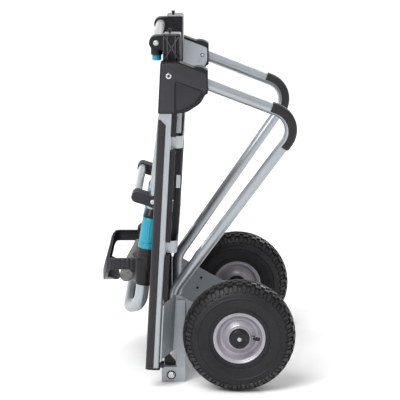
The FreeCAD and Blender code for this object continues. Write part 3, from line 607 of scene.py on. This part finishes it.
# Name, look, slot and profile, as (radius, distance from the tip).
VALVE_PARTS = (
    ("valve_cap_", "black_fine", "black_plastic",
     ((2.4, -9.0), (4.1, -9.0), (4.3, -8.2), (4.3, -1.8), (3.6, -0.5), (2.2, -0.1))),
    ("valve_stem_", "steel", "bright_steel",
     ((3.3, -27.0), (3.3, -12.8), (2.7, -12.2), (2.7, -11.0), (3.1, -10.6), (3.1, -8.8))))
VALVE_GROOVE = 0.93  # every third point of a wide ring is drawn in, which makes grooves
VALVE_GROOVED = 3  # rings wider than this radius have them


def make_valve_cap(side, sign):
    """Valve stem leaning out of the rim, with its ridged cap."""
    axis = Vector((VALVE_AXIS[0], sign * VALVE_AXIS[1], 0)).normalized()
    tip = wheel_middle(side) + Vector((VALVE_TIP[0], sign * VALVE_TIP[1], 0)) * MM
    for name, look, slot, profile in VALVE_PARTS:
        rings = []
        for radius, along in profile:
            here = tip + axis * (along * MM)
            points = ring(here, axis, radius * MM, 36)
            if radius > VALVE_GROOVED:
                points[::3] = [here + (p - here) * VALVE_GROOVE for p in points[::3]]
            rings.append(points)
        bm = bmesh.new()
        skin(bm, rings)
        add_piece(name + side, bm, look, "wheel_" + side)


# The rim's outer face as (radius, offset from the middle), from its flange to its hub, and the
# seat under the tyre.
RIM_FACE = [(60.0, 29.4), (60.3, 31.2), (59.6, 32.5), (58.2, 32.9), (56.8, 32.4), (55.4, 31.4),
            (53.4, 30.9), (51.9, 29.6), (50.6, 27.4), (49.9, 24.0), (48.6, 20.4), (46.0, 16.6),
            (43.4, 14.9), (40.6, 14.6), (38.8, 15.2), (34.2, 18.4), (29.6, 22.4), (27.4, 24.2),
            (26.5, 26.0), (26.2, 28.5), (26.2, 32.0), (25.7, 32.9), (23.6, 32.9)]
RIM_SEAT = [(58.6, 28.8), (53.4, 28.4), (52.2, 20.4), (47.0, 12.5)]


def make_rim(side):
    """Pressed rim: rolled flange, sloping barrel, dished centre and hub tube, all one skin."""
    half = smooth_line(RIM_FACE, 4)[::-1] + RIM_SEAT
    profile = half + [(r, -y) for r, y in reversed(half)]
    bm = bmesh.new()
    lathe(bm, wheel_middle(side), ACROSS, profile, 128, closed=True)
    add_piece("rim_disc_" + side, bm, "rim", "wheel_" + side, 50, ("rim_" + side,))


SEAL_PROFILE = ((25.4, 32.2), (25.6, 33.2), (24.6, 33.3), (23.6, 32.6), (23.6, 31.8))


def make_hub_seal(side):
    """Dust seal ring in front of each bearing."""
    bm = bmesh.new()
    for face in (-1, 1):
        lathe(bm, wheel_middle(side), outward(face), SEAL_PROFILE, 64, closed=True)
    add_piece("hub_seal_" + side, bm, "rim", "wheel_" + side)


# Cap and axle end as (radius, offset from the cap's outer face).
CAP_PROFILE = ((21.4, -9.5), (22.0, -9.0), (22.0, -2.8), (21.3, -1.1), (19.6, -0.2), (17.8, 0.0),
               (12.5, -0.1), (11.4, -0.5), (8.0, -0.7), (6.0, -0.9), (5.2, -1.3), (5.0, -1.8),
               (0.3, -1.85))
END_PROFILE = ((4.7, -1.8), (4.7, -0.9), (4.2, -0.5), (2.6, -0.2), (0.3, -0.1))


def make_axle_ends():
    """A turned cap over each end of the axle, with the axle's bright end in its middle."""
    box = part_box("axle_caps")
    caps, ends = bmesh.new(), bmesh.new()
    for _, sign in SIDES:
        centre = side_middle(box, sign)
        lathe(caps, centre, outward(sign), CAP_PROFILE, 72)
        lathe(ends, centre, outward(sign), END_PROFILE, 48)
    add_piece("turned_caps", caps, "black_fine", "frame", 40, ("axle_caps",))
    add_piece("axle_ends", ends, "plate", "frame", 40)


# ---- fasteners ----
def socket_screw(bm, seat, out, radius, height, hexagonal=False):
    """A round or hexagonal head with a hexagon recess, standing on seat and facing out. In mm."""
    out = out.normalized()
    shape = hexagon_ring if hexagonal else ring
    socket = radius * 0.52
    steps = ((shape, radius, 0), (shape, radius, height * 0.72),
             (shape, radius * 0.95, height * 0.9), (shape, radius * 0.86, height),
             (hexagon_ring, socket * 1.06, height), (hexagon_ring, socket, height * 0.94),
             (hexagon_ring, socket * 0.98, height * 0.4), (ring, socket * 0.25, height * 0.34))
    skin(bm, [make(seat + out * (z * MM), out, r * MM, 48) for make, r, z in steps])


def washer(bm, seat, out, inner, outer, height):
    profile = ((inner, 0), (outer, 0), (outer, height * 0.7), (outer - 0.3, height),
               (inner, height))
    lathe(bm, seat, out, profile, 40, closed=True)


# Detailed heads: CAD node, look, slot, body, radius, height, and how far the head stands out of
# the node's box. One that doesn't stand out replaces the node.
HEADS = (("cover_screws", "steel", "bright_steel", "frame", 6.5, 3.2, 0),
         ("arm_bolts", "white", "white_bolt", "handle_frame", 4.4, 2.8, 0),
         ("boss_bolts", "steel", "bright_steel", "handle_frame", 5.0, 2.6, 0.6))
WASHER_SUNK = 0.6  # how far the washer lies under the head


def make_fasteners():
    """Socket heads with washers, in place of the plain CAD heads or over them."""
    for node, look, slot, body, radius, height, proud in HEADS:
        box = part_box(node)
        bm = bmesh.new()
        for _, sign in SIDES:
            out = outward(sign)
            seat = side_middle(box, sign) + out * (proud - height) * MM
            washer(bm, seat - out * WASHER_SUNK * MM, out, radius * 0.4, radius * 1.22, 1.0)
            socket_screw(bm, seat, out, radius, height)
        add_piece(node + "_detail", bm, look, body, 30, () if proud else (node,))


FOOT_SEAT = 4.9  # the foot bolts' heads start this far inside their box's end
FOOT_RAISED = 1.6  # the hexagon over the flange's seat
FOOT_FLANGE = ((4, 0), (8.3, 0), (8.4, 1.3), (8.1, 1.8), (7.8, 2.0), (4, 2.0))
FOOT_WASHER = ((7.5, 0), (10.6, 0), (10.8, 0.6), (10.2, 1.2), (9.0, 1.2), (7.5, 0.8))


def make_foot_heads():
    """Flanged hexagon heads over the plain ones on the feet, and a black washer under each."""
    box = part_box("foot_bolts")
    at = joint_at("toe_fold")
    heads, washers = bmesh.new(), bmesh.new()
    for _, sign in SIDES:
        out = outward(sign)
        seat = Vector((at.x, side_face(box, sign) - sign * FOOT_SEAT * MM, at.z))
        lathe(heads, seat, out, FOOT_FLANGE, 48, closed=True)
        socket_screw(heads, seat + out * FOOT_RAISED * MM, out, 7.8, 4.4, hexagonal=True)
        lathe(washers, seat, out, FOOT_WASHER, 48, closed=True)
    add_piece("foot_heads", heads, "steel", "frame", 30)
    add_piece("foot_washers", washers, "black_fine", "frame", 30)


INNER_FACE = 222  # inner face of the straps' flanges and of the top plates
STRAP_MIDDLE = 15  # a strap's middle from its lower or upper edge
RIVETS_BEHIND = (9, 22)  # the rivets' places behind the rail's front
RIVET_PROFILE = ((4.2, -0.5), (4.2, 0.5), (3.4, 1.4), (1.8, 1.9), (0.2, 2.0))
PLATE_SCREW_ABOVE = 17  # the plates' screw above their clamp bolt


def make_rivets():
    """Rivets through the straps into the rails."""
    low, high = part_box("cross_members")
    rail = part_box("rail_right")[0]
    bm = bmesh.new()
    for _, sign in SIDES:
        for z in (low.z + STRAP_MIDDLE * MM, high.z - STRAP_MIDDLE * MM):
            rail_x = rail.x + (z - rail.z) * math.tan(LEAN)
            for step in RIVETS_BEHIND:
                seat = Vector((rail_x + step * MM, sign * INNER_FACE * MM, z))
                lathe(bm, seat, outward(-sign), RIVET_PROFILE, 24)
    add_piece("strap_rivets", bm, "steel", "frame")


def make_plate_screws():
    """A screw with a black washer on the inner face of each top plate."""
    low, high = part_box("clamp_bolts")
    screws, washers = bmesh.new(), bmesh.new()
    for _, sign in SIDES:
        seat = Vector(((low.x + high.x) / 2, sign * INNER_FACE * MM,
                       (low.z + high.z) / 2 + PLATE_SCREW_ABOVE * MM))
        socket_screw(screws, seat, outward(-sign), 3.4, 2.0)
        washer(washers, seat, outward(-sign), 2.6, 5.0, 0.8)
    add_piece("plate_screws", screws, "steel", "frame")
    add_piece("plate_screw_washers", washers, "black_fine", "frame")


# ---- faces of the panel, toe plate, covers and hinge cheeks ----
# From the floor under the axle: the panel's face leans with the rails, the toe plate is upright.
PANEL_FRONT = -174.0
PANEL_BORDER = ((-148, -138, 305, 631), (138, 148, 305, 631),  # left, right, low, high
                (-137.6, 137.6, 305, 314), (-137.6, 137.6, 622, 631))
PANEL_RIBS = (-112.5, -67.5, -22.5, 22.5, 67.5, 112.5)
PANEL_RIB_HALF = 3
PANEL_RIB_ENDS = (345, 614)
TOE_LINES = (-174, -120, -60, 0, 60, 120, 174)
TOE_ROWS = (17, 96, 176, 256, 335)
TOE_GAP = 2.5  # from a line to the fields beside it
TOE_RELIEF = 0.4  # the plate lies 0.5 mm above the floor when it is down


def make_front_faces():
    """Border and ribs on the panel's front, and shallow fields on the toe plate's front."""
    axle = wheel_middle("left").x

    def on_panel(y, z, out):
        x = PANEL_FRONT - out
        return Vector((axle + (x * math.cos(LEAN) + z * math.sin(LEAN)) * MM, y * MM,
                       (z * math.cos(LEAN) - x * math.sin(LEAN)) * MM))

    bm = bmesh.new()
    for limits in PANEL_BORDER:
        tile(bm, rounded_tile(*limits, 2.0), on_panel, 1.6, 0.6)
    for y in PANEL_RIBS:
        rib = rounded_tile(y - PANEL_RIB_HALF, y + PANEL_RIB_HALF, *PANEL_RIB_ENDS, 2.9)
        tile(bm, rib, on_panel, 1.4, 0.8)
    add_piece("panel_ribs", bm, "cover", "frame", 50)

    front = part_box("toe_plate")[0].x

    def on_toe_plate(y, z, out):
        return Vector((front - out * MM, y * MM, z * MM))

    bm = bmesh.new()
    for left, right in zip(TOE_LINES, TOE_LINES[1:]):
        for low, high in zip(TOE_ROWS, TOE_ROWS[1:]):
            field = rounded_tile(left + TOE_GAP, right - TOE_GAP,
                                 low + TOE_GAP, high - TOE_GAP, 5.0)
            tile(bm, field, on_toe_plate, TOE_RELIEF, 0.3)
    add_piece("toe_fields", bm, "toe", "toe_plate", 50)


# Outlines on a cover's outer face, from the lower front corner of its box.
COVER_BORDER = [(2.5, 3), (8.3, 111.5), (10.5, 113.5), (44.5, 113.5), (106, 90.5), (108.2, 88),
                (109, 56), (106.5, 50.5), (102.5, 46.5), (97.5, 53.5), (93, 56), (42, 73.5),
                (38.5, 72), (37, 68), (36.5, 3)]
COVER_ARC = [(96, 47.5), (90, 37), (80.5, 26.5), (67, 16.5), (52, 9.8), (43, 7.2)]
COVER_PANEL = [(41, 9.5), (41, 68.5), (43, 70), (95, 52.2), (96.8, 50)] + smooth_line(COVER_ARC, 4)
# Name, look, outline and height.
COVER_PARTS = (("cover_border_", "cover_rim", COVER_BORDER, 1.6),
               ("cover_panel_", "cover", COVER_PANEL, 1.2))


def make_cover_panels():
    """Each cover has a raised border and a quarter panel, with a groove between them."""
    for side, sign in SIDES:
        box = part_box("top_cover_" + side)
        for name, look, outline, height in COVER_PARTS:
            bm = bmesh.new()
            raised_plate(bm, outline, box[0], side_face(box, sign), sign, height, 0.9)
            add_piece(name + side, bm, look, "frame", 50)


CHEEK_FACE = 219.0  # the hinge cheek's outer face
# Rib crests on that face as (start, end, height), from the pivot along x and z.
CHEEK_CRESTS = (((-15, 26), (16.5, -26), 0.5), ((-15, -26), (16.5, 26), 0.5),
                ((-9, -26), (-9, 27), 0.4), ((9, -26), (9, 27), 0.4),
                ((-17.4, -27), (-17.4, 26), 0.6), ((18.9, -27), (18.9, 25), 0.6),
                ((-14, 29.3), (15.5, 29.3), 0.6), ((-15, -28.3), (17.5, -28.3), 0.6))


def make_cheek_ribs():
    """Crests of the ribs that cross on each hinge cheek, and of the border round them, in a lighter
    black that paints the glint on their edges.
    """
    for side, sign in SIDES:
        bm = bmesh.new()
        for start, end, height in CHEEK_CRESTS:
            raised_plate(bm, strip(start, end, 2.2), HINGE, sign * CHEEK_FACE * MM, sign, height,
                         0.3)
        add_piece("cheek_ribs_" + side, bm, "rib", "frame", 50)


# ---- twist collars, sleeves and buttons ----
# Distances down the leg from the hinge.
COLLAR_TOP = 398.6
COLLAR_LOW = 470.6
COLLAR_BORE = 15.9
COLLAR_STEPS = 10
SLEEVE_TOP = COLLAR_LOW + 0.6
SLEEVE_LOW = 558.0
SLEEVE_BORE = 15.6
SLEEVE_STEPS = 14
SLEEVE_RINGS = (2, 12)  # the steps that are followed by a ring groove
# A ring groove as (radius at the sleeve's top, distance down from its step).
RING_GROOVE = ((21.1, 0.6), (20.4, 1.0), (20.4, 2.2), (21.3, 2.6))


def fluted(bm, sign, profile, count, flutes=1, depth=0):
    """A lathe down the leg, with shallow flutes where the profile's third value is 1."""
    rings = []
    for radius, down, cut in profile:
        centre = on_leg(sign, down)
        points = ring(centre, LEG_DOWN, radius * MM, count)
        if cut:
            waves = [max(0.0, math.cos(flutes * math.tau * i / count)) for i in range(count)]
            points = [centre + (p - centre) * (1 - depth / radius * wave ** 2)
                      for p, wave in zip(points, waves)]
        rings.append(points)
    skin(bm, rings, closed=True)


def make_collar(side, sign):
    """Twist collar: a fluted waist, a groove near its lower end and rolled edges."""
    top, low = COLLAR_TOP, COLLAR_LOW
    profile = [(COLLAR_BORE, top, 0), (17.6, top, 0), (18.4, top + 0.8, 0), (18.7, top + 3, 0),
               (19.0, top + 7, 0)]
    for k in range(COLLAR_STEPS + 1):
        t = k / COLLAR_STEPS
        profile.append((19.1 + 2.1 * t, top + 8 + (low - top - 26) * t, 0 < k < COLLAR_STEPS))
    profile += [(21.4, low - 17, 0), (21.2, low - 15.4, 0), (20.2, low - 15.0, 0),
                (20.2, low - 12.4, 0), (21.5, low - 12.0, 0), (21.9, low - 11, 0),
                (22.0, low - 4, 0), (21.8, low - 1.2, 0), (21.0, low, 0), (COLLAR_BORE, low, 0)]
    bm = bmesh.new()
    fluted(bm, sign, profile, 120, flutes=20, depth=0.55)
    add_piece("collar_shell_" + side, bm, "teal", "collar_" + side, 40,
              ("twist_collar_" + side,))


def make_sleeve(side, sign):
    """Moulded sleeve under the collar, with two shallow rings and a rolled end."""
    top, low = SLEEVE_TOP, SLEEVE_LOW
    profile = [(SLEEVE_BORE, top, 0), (20.6, top, 0), (21.4, top + 0.8, 0)]
    for k in range(SLEEVE_STEPS + 1):
        t = k / SLEEVE_STEPS
        narrowing = 3.3 * t
        down = top + 2 + (low - top - 5) * t
        profile.append((21.45 - narrowing, down, 0))
        if k in SLEEVE_RINGS:
            profile += [(radius - narrowing, down + step, 0) for radius, step in RING_GROOVE]
    profile += [(18.0, low - 1.6, 0), (17.2, low, 0), (SLEEVE_BORE, low, 0)]
    bm = bmesh.new()
    fluted(bm, sign, profile, 72)
    add_piece("sleeve_shell_" + side, bm, "sleeve", "grip_handle", 40,
              ("grip_sleeve_" + side,))


def make_button(side):
    """Release button: a domed cap with a ring groove and a finger dish in its lower face."""
    low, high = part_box("release_button_" + side)
    centre = Vector(((low.x + high.x) / 2, (low.y + high.y) / 2, low.z))
    height = (high.z - low.z) / MM
    profile = ((0.3, 1.4), (4.0, 1.2), (7.2, 0.3), (8.6, 0.0), (9.8, 0.5), (10.5, 1.8),
               (10.6, 4.0), (10.6, height - 7), (10.2, height - 6.6), (10.2, height - 5.6),
               (10.6, height - 5.2), (10.6, height - 0.4), (10.2, height), (0.3, height))
    bm = bmesh.new()
    lathe(bm, centre, UP, profile, 64)
    add_piece("button_cap_" + side, bm, "teal", "button_" + side, 40,
              ("release_button_" + side,))


# ---- knuckle guard and grip bar ----
# The guard's section as (depth from its outer face, height in half heights).
GUARD_SECTION = ((-1.6, -0.99), (-0.5, -0.92), (0, -0.66), (0, 0.66), (-0.5, 0.92), (-1.6, 0.99),
                 (-7.8, 1.0), (-8.0, 0.93), (-7.8, 0.87), (-3.4, 0.80), (-2.6, 0.66),
                 (-2.6, -0.66), (-3.4, -0.80), (-7.8, -0.87), (-8.0, -0.93), (-7.8, -1.0))
GUARD_OUTER = -2  # section points shallower than this are on the ribbed face
GUARD_FLANGE = -5  # and those deeper than this are on the flanges
GUARD_TURN = 27.0  # radius of the bow's corners
GUARD_REACH = 11.0  # the bow's middle is this far in front of its corners
GUARD_MIDDLE = 14.0  # height of the band's middle above the lowest point
GUARD_ARCH = 150.0  # half width of the arch
GUARD_RISE = 55.5  # height of the arch's ends over its middle
GUARD_LIP = 33.0  # the lower flange runs this much further back in the middle,
GUARD_LIP_FADE = 1.45  # and no further at 1 / 1.45 of the arch's half width
GUARD_HALF = (14.0, 13.4)  # half height of the band in the middle and at its ends
GUARD_RIB = 1.3  # height of the ribs
GUARD_STEPS = (18, 16, 60)  # along a side, round a corner and along half of the front


def arc_radius(half, rise):
    """Radius of an arc by its half width and its height."""
    return (half ** 2 + rise ** 2) / (2 * rise)


def guard_path():
    """(point in mm, outward direction) from one root round the front to the other."""
    low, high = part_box("knuckle_guard")
    root, apex, side = high.x / MM, low.x / MM, high.y / MM
    corner = apex + GUARD_REACH + GUARD_TURN
    along, round_corner, along_front = GUARD_STEPS
    path = []
    for k in range(along):
        path.append((Vector((root + (corner - root) * k / along, side, 0)), ACROSS))
    for k in range(round_corner):
        a = math.pi / 2 * k / round_corner
        out = Vector((-math.sin(a), math.cos(a), 0))
        path.append((Vector((corner, side - GUARD_TURN, 0)) + out * GUARD_TURN, out))
    half = side - GUARD_TURN
    radius = arc_radius(half, GUARD_REACH)
    sweep = math.asin(half / radius)
    for k in range(along_front + 1):
        a = sweep * (1 - k / along_front)
        out = Vector((-math.cos(a), math.sin(a), 0))
        path.append((Vector((apex + radius, 0, 0)) + out * radius, out))
    flip = Vector((1, -1, 1))
    return path + [(p * flip, n * flip) for p, n in reversed(path[:-1])]


def make_guard():
    """Knuckle guard: a channel open towards the grip, ribbed across its outer face."""
    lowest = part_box("knuckle_guard")[0].z / MM
    radius = arc_radius(GUARD_ARCH, GUARD_RISE)
    rings = []
    for k, (p, out) in enumerate(guard_path()):
        y = min(abs(p.y), GUARD_ARCH)
        t = y / GUARD_ARCH
        height = lowest + GUARD_MIDDLE + radius - math.sqrt(radius ** 2 - y ** 2)
        half = GUARD_HALF[0] + (GUARD_HALF[1] - GUARD_HALF[0]) * t
        valley = 0 if k % 4 < 2 else GUARD_RIB
        lip = GUARD_LIP * max(0, 1 - GUARD_LIP_FADE * t) ** 0.4
        section = []
        for depth, b in GUARD_SECTION:
            if depth > GUARD_OUTER:
                depth -= valley
            elif depth < GUARD_FLANGE and b < 0:
                depth -= lip
            section.append((p + out * depth + UP * (height + b * half)) * MM)
        rings.append(section)
    bm = bmesh.new()
    skin(bm, rings)
    add_piece("ribbed_guard", bm, "guard", "grip_handle", 40, ("knuckle_guard",))


# A guard screw's place: behind its box, across from the middle, and below the box's top.
GUARD_SCREW = (1.5, 160, 6)


def make_guard_screws():
    """A bright screw through each side of the guard into its mount."""
    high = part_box("knuckle_guard")[1]
    behind, across, below = GUARD_SCREW
    bm = bmesh.new()
    for _, sign in SIDES:
        seat = Vector((high.x + behind * MM, sign * across * MM, high.z - below * MM))
        washer(bm, seat, outward(sign), 1.8, 5.4, 0.8)
        socket_screw(bm, seat, outward(sign), 4.2, 2.6)
    add_piece("guard_screws", bm, "steel", "grip_handle", 30)


GRIP_RADIUS = 12.5
GRIP_FIT = 0.995  # the visible bar's part of that radius
GRIP_HALF = 138  # half the width of the bar's centre line
GRIP_END = (-145.5, 257)  # x and z where that line ends, in the saved frame
GRIP_STEPS = 120
GRIP_COUNT = 40
GRIP_RINGS = (0.30, 0.86)  # finger rings between these parts of the half length
GRIP_RING_PITCH = 0.08
GRIP_NECK = 0.90  # a neck starts here,
GRIP_COLLAR = 0.93  # and the collar at the bar's end here


def grip_arc():
    """The grip bar's centre line: (centre, radius, half sweep, direction from bar to centre)."""
    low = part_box("grip_bar")[0]
    half = GRIP_HALF * MM
    middle = Vector((low.x + GRIP_RADIUS * MM, 0, low.z + GRIP_RADIUS * MM))
    rise = Vector((GRIP_END[0] * MM, 0, GRIP_END[1] * MM)) - middle
    size = arc_radius(half, rise.length)
    inward = rise.normalized()
    return middle + inward * size, size, math.asin(half / size), inward


def grip_swell(t):
    """The bar's thickness at a part t of its half length, as a part of its full thickness."""
    if t > GRIP_COLLAR:
        return 1.0
    if t > GRIP_NECK:
        return 0.84
    swell = 1 - 0.10 * t ** 2
    first, last = GRIP_RINGS
    if first < t < last:
        swell -= 0.035 * (0.5 + 0.5 * math.cos((t - first) * math.tau / GRIP_RING_PITCH))
    return swell


def make_grip_bar():
    """Soft grip: a barrel-shaped bar with finger rings towards its ends and a collar at each."""
    centre, size, sweep, inward = grip_arc()
    turns = [math.tau * i / GRIP_COUNT for i in range(GRIP_COUNT)]
    rings = []
    for k in range(GRIP_STEPS + 1):
        t = -1 + 2 * k / GRIP_STEPS
        angle = sweep * t
        out = -inward * math.cos(angle) + ACROSS * math.sin(angle)
        along = inward * math.sin(angle) + ACROSS * math.cos(angle)
        across = along.cross(out)
        swell = grip_swell(abs(t))
        spokes = [out * math.cos(turn) + across * math.sin(turn) for turn in turns]
        rings.append([centre + out * size + spoke * (GRIP_RADIUS * MM) * GRIP_FIT * swell
                      for spoke in spokes])
    bm = bmesh.new()
    skin(bm, rings)
    add_piece("soft_grip", bm, "grip", "grip_handle", 50, ("grip_bar",))


# ---- camera, light and floor ----
# Colour of the surround by height: white to just above the horizon, then grey, a white ceiling.
SKY = ((0.0, (1.25, 1.25, 1.25)), (0.11, (1.25, 1.25, 1.25)), (0.16, (0.28, 0.29, 0.31)),
       (0.85, (1, 1, 1)))
SKY_STRENGTH = 0.85
SUN_PLACE = (-1.6, -2.4, 4.2)
SUN_STRENGTH = 2.3
SUN_WIDTH = 35  # degrees
# Area lamps: name, place, diameter and power. All of them face the middle of the cart.
LAMPS = (("key", (-2.2, -3.0, 2.6), 1.3, 42), ("side_fill", (3.2, -2.4, 1.2), 1.0, 16),
         ("back_edge", (1.6, 3.0, 2.2), 1.2, 30), ("front_edge", (-3.2, 1.4, 1.6), 0.9, 22))
CART_MIDDLE = (0, 0, 0.4)
CAMERA_PLACE = (0.0408, -4.501, 1.3345)
CAMERA_TURN = 0.45  # degrees to the left of straight across the cart
CAMERA_DOWN = 11.8  # degrees below level
CAMERA_LENS = 172.5


def make_floor():
    """A large pale floor."""
    bm = bmesh.new()
    bmesh.ops.create_grid(bm, x_segments=1, y_segments=1, size=60)
    mesh = mesh_from("floor", bm)
    floor = bpy.data.objects.new("floor", mesh)
    bpy.context.scene.collection.objects.link(floor)
    shader = Shader("pale_floor", Specular_IOR_Level=0.1)
    speck = shader.noise(3, 3)
    colour = shader.ramp(speck, (0.3, (0.86, 0.86, 0.86)), (0.7, (0.88, 0.88, 0.88)))
    mesh.materials.append(shader.done(colour, shader.spread(speck, 0.75, 0.85)))


def make_surround():
    """A bright surround that is coloured by height."""
    world = bpy.data.worlds.new("surround")
    bpy.context.scene.world = world
    world.use_nodes = True
    nodes, links = world.node_tree.nodes, world.node_tree.links
    split = nodes.new("ShaderNodeSeparateXYZ")
    links.new(nodes.new("ShaderNodeTexCoord").outputs["Generated"], split.inputs["Vector"])
    ramp = colour_ramp(nodes, SKY)
    links.new(split.outputs["Z"], ramp.inputs["Fac"])
    background = nodes["Background"]
    background.inputs["Strength"].default_value = SKY_STRENGTH
    links.new(ramp.outputs["Color"], background.inputs["Color"])


def place_facing(name, data, place, ahead):
    """A lamp or camera at a place, looking ahead."""
    holder = bpy.data.objects.new(name, data)
    holder.location = place
    holder.rotation_mode = "QUATERNION"
    holder.rotation_quaternion = ahead.to_track_quat("-Z", "Y")
    bpy.context.scene.collection.objects.link(holder)
    return holder


def add_lamp(name, lamp, place):
    place_facing(name, lamp, place, Vector(CART_MIDDLE) - Vector(place))


def make_lights():
    """Soft daylight and four large lamps."""
    sun = bpy.data.lights.new("daylight", "SUN")
    sun.energy = SUN_STRENGTH
    sun.angle = math.radians(SUN_WIDTH)
    add_lamp("daylight", sun, SUN_PLACE)
    for name, place, size, power in LAMPS:
        lamp = bpy.data.lights.new(name, "AREA")
        lamp.shape = "DISK"
        lamp.size = size
        lamp.energy = power
        add_lamp(name, lamp, place)


def make_camera():
    """The photograph's view: from the cart's left, slightly above, with a long lens."""
    turn, down = math.radians(CAMERA_TURN), math.radians(CAMERA_DOWN)
    ahead = Vector((-math.sin(turn) * math.cos(down), math.cos(turn) * math.cos(down),
                    -math.sin(down)))
    data = bpy.data.cameras.new("camera")
    data.lens = CAMERA_LENS
    data.sensor_width = 36
    data.clip_end = 200
    bpy.context.scene.camera = place_facing("camera", data, CAMERA_PLACE, ahead)


# ---- build ----
bpy.context.scene.view_settings.view_transform = "Standard"
make_camera()
make_floor()
make_surround()
make_lights()
dress_cad()
for side, sign in SIDES:
    make_tyre(side)
    make_valve_cap(side, sign)
    make_rim(side)
    make_hub_seal(side)
    make_collar(side, sign)
    make_sleeve(side, sign)
    make_button(side)
make_axle_ends()
make_grip_bar()
make_guard()
make_guard_screws()
make_cover_panels()
make_cheek_ribs()
make_front_faces()
make_fasteners()
make_foot_heads()
make_rivets()
make_plate_screws()
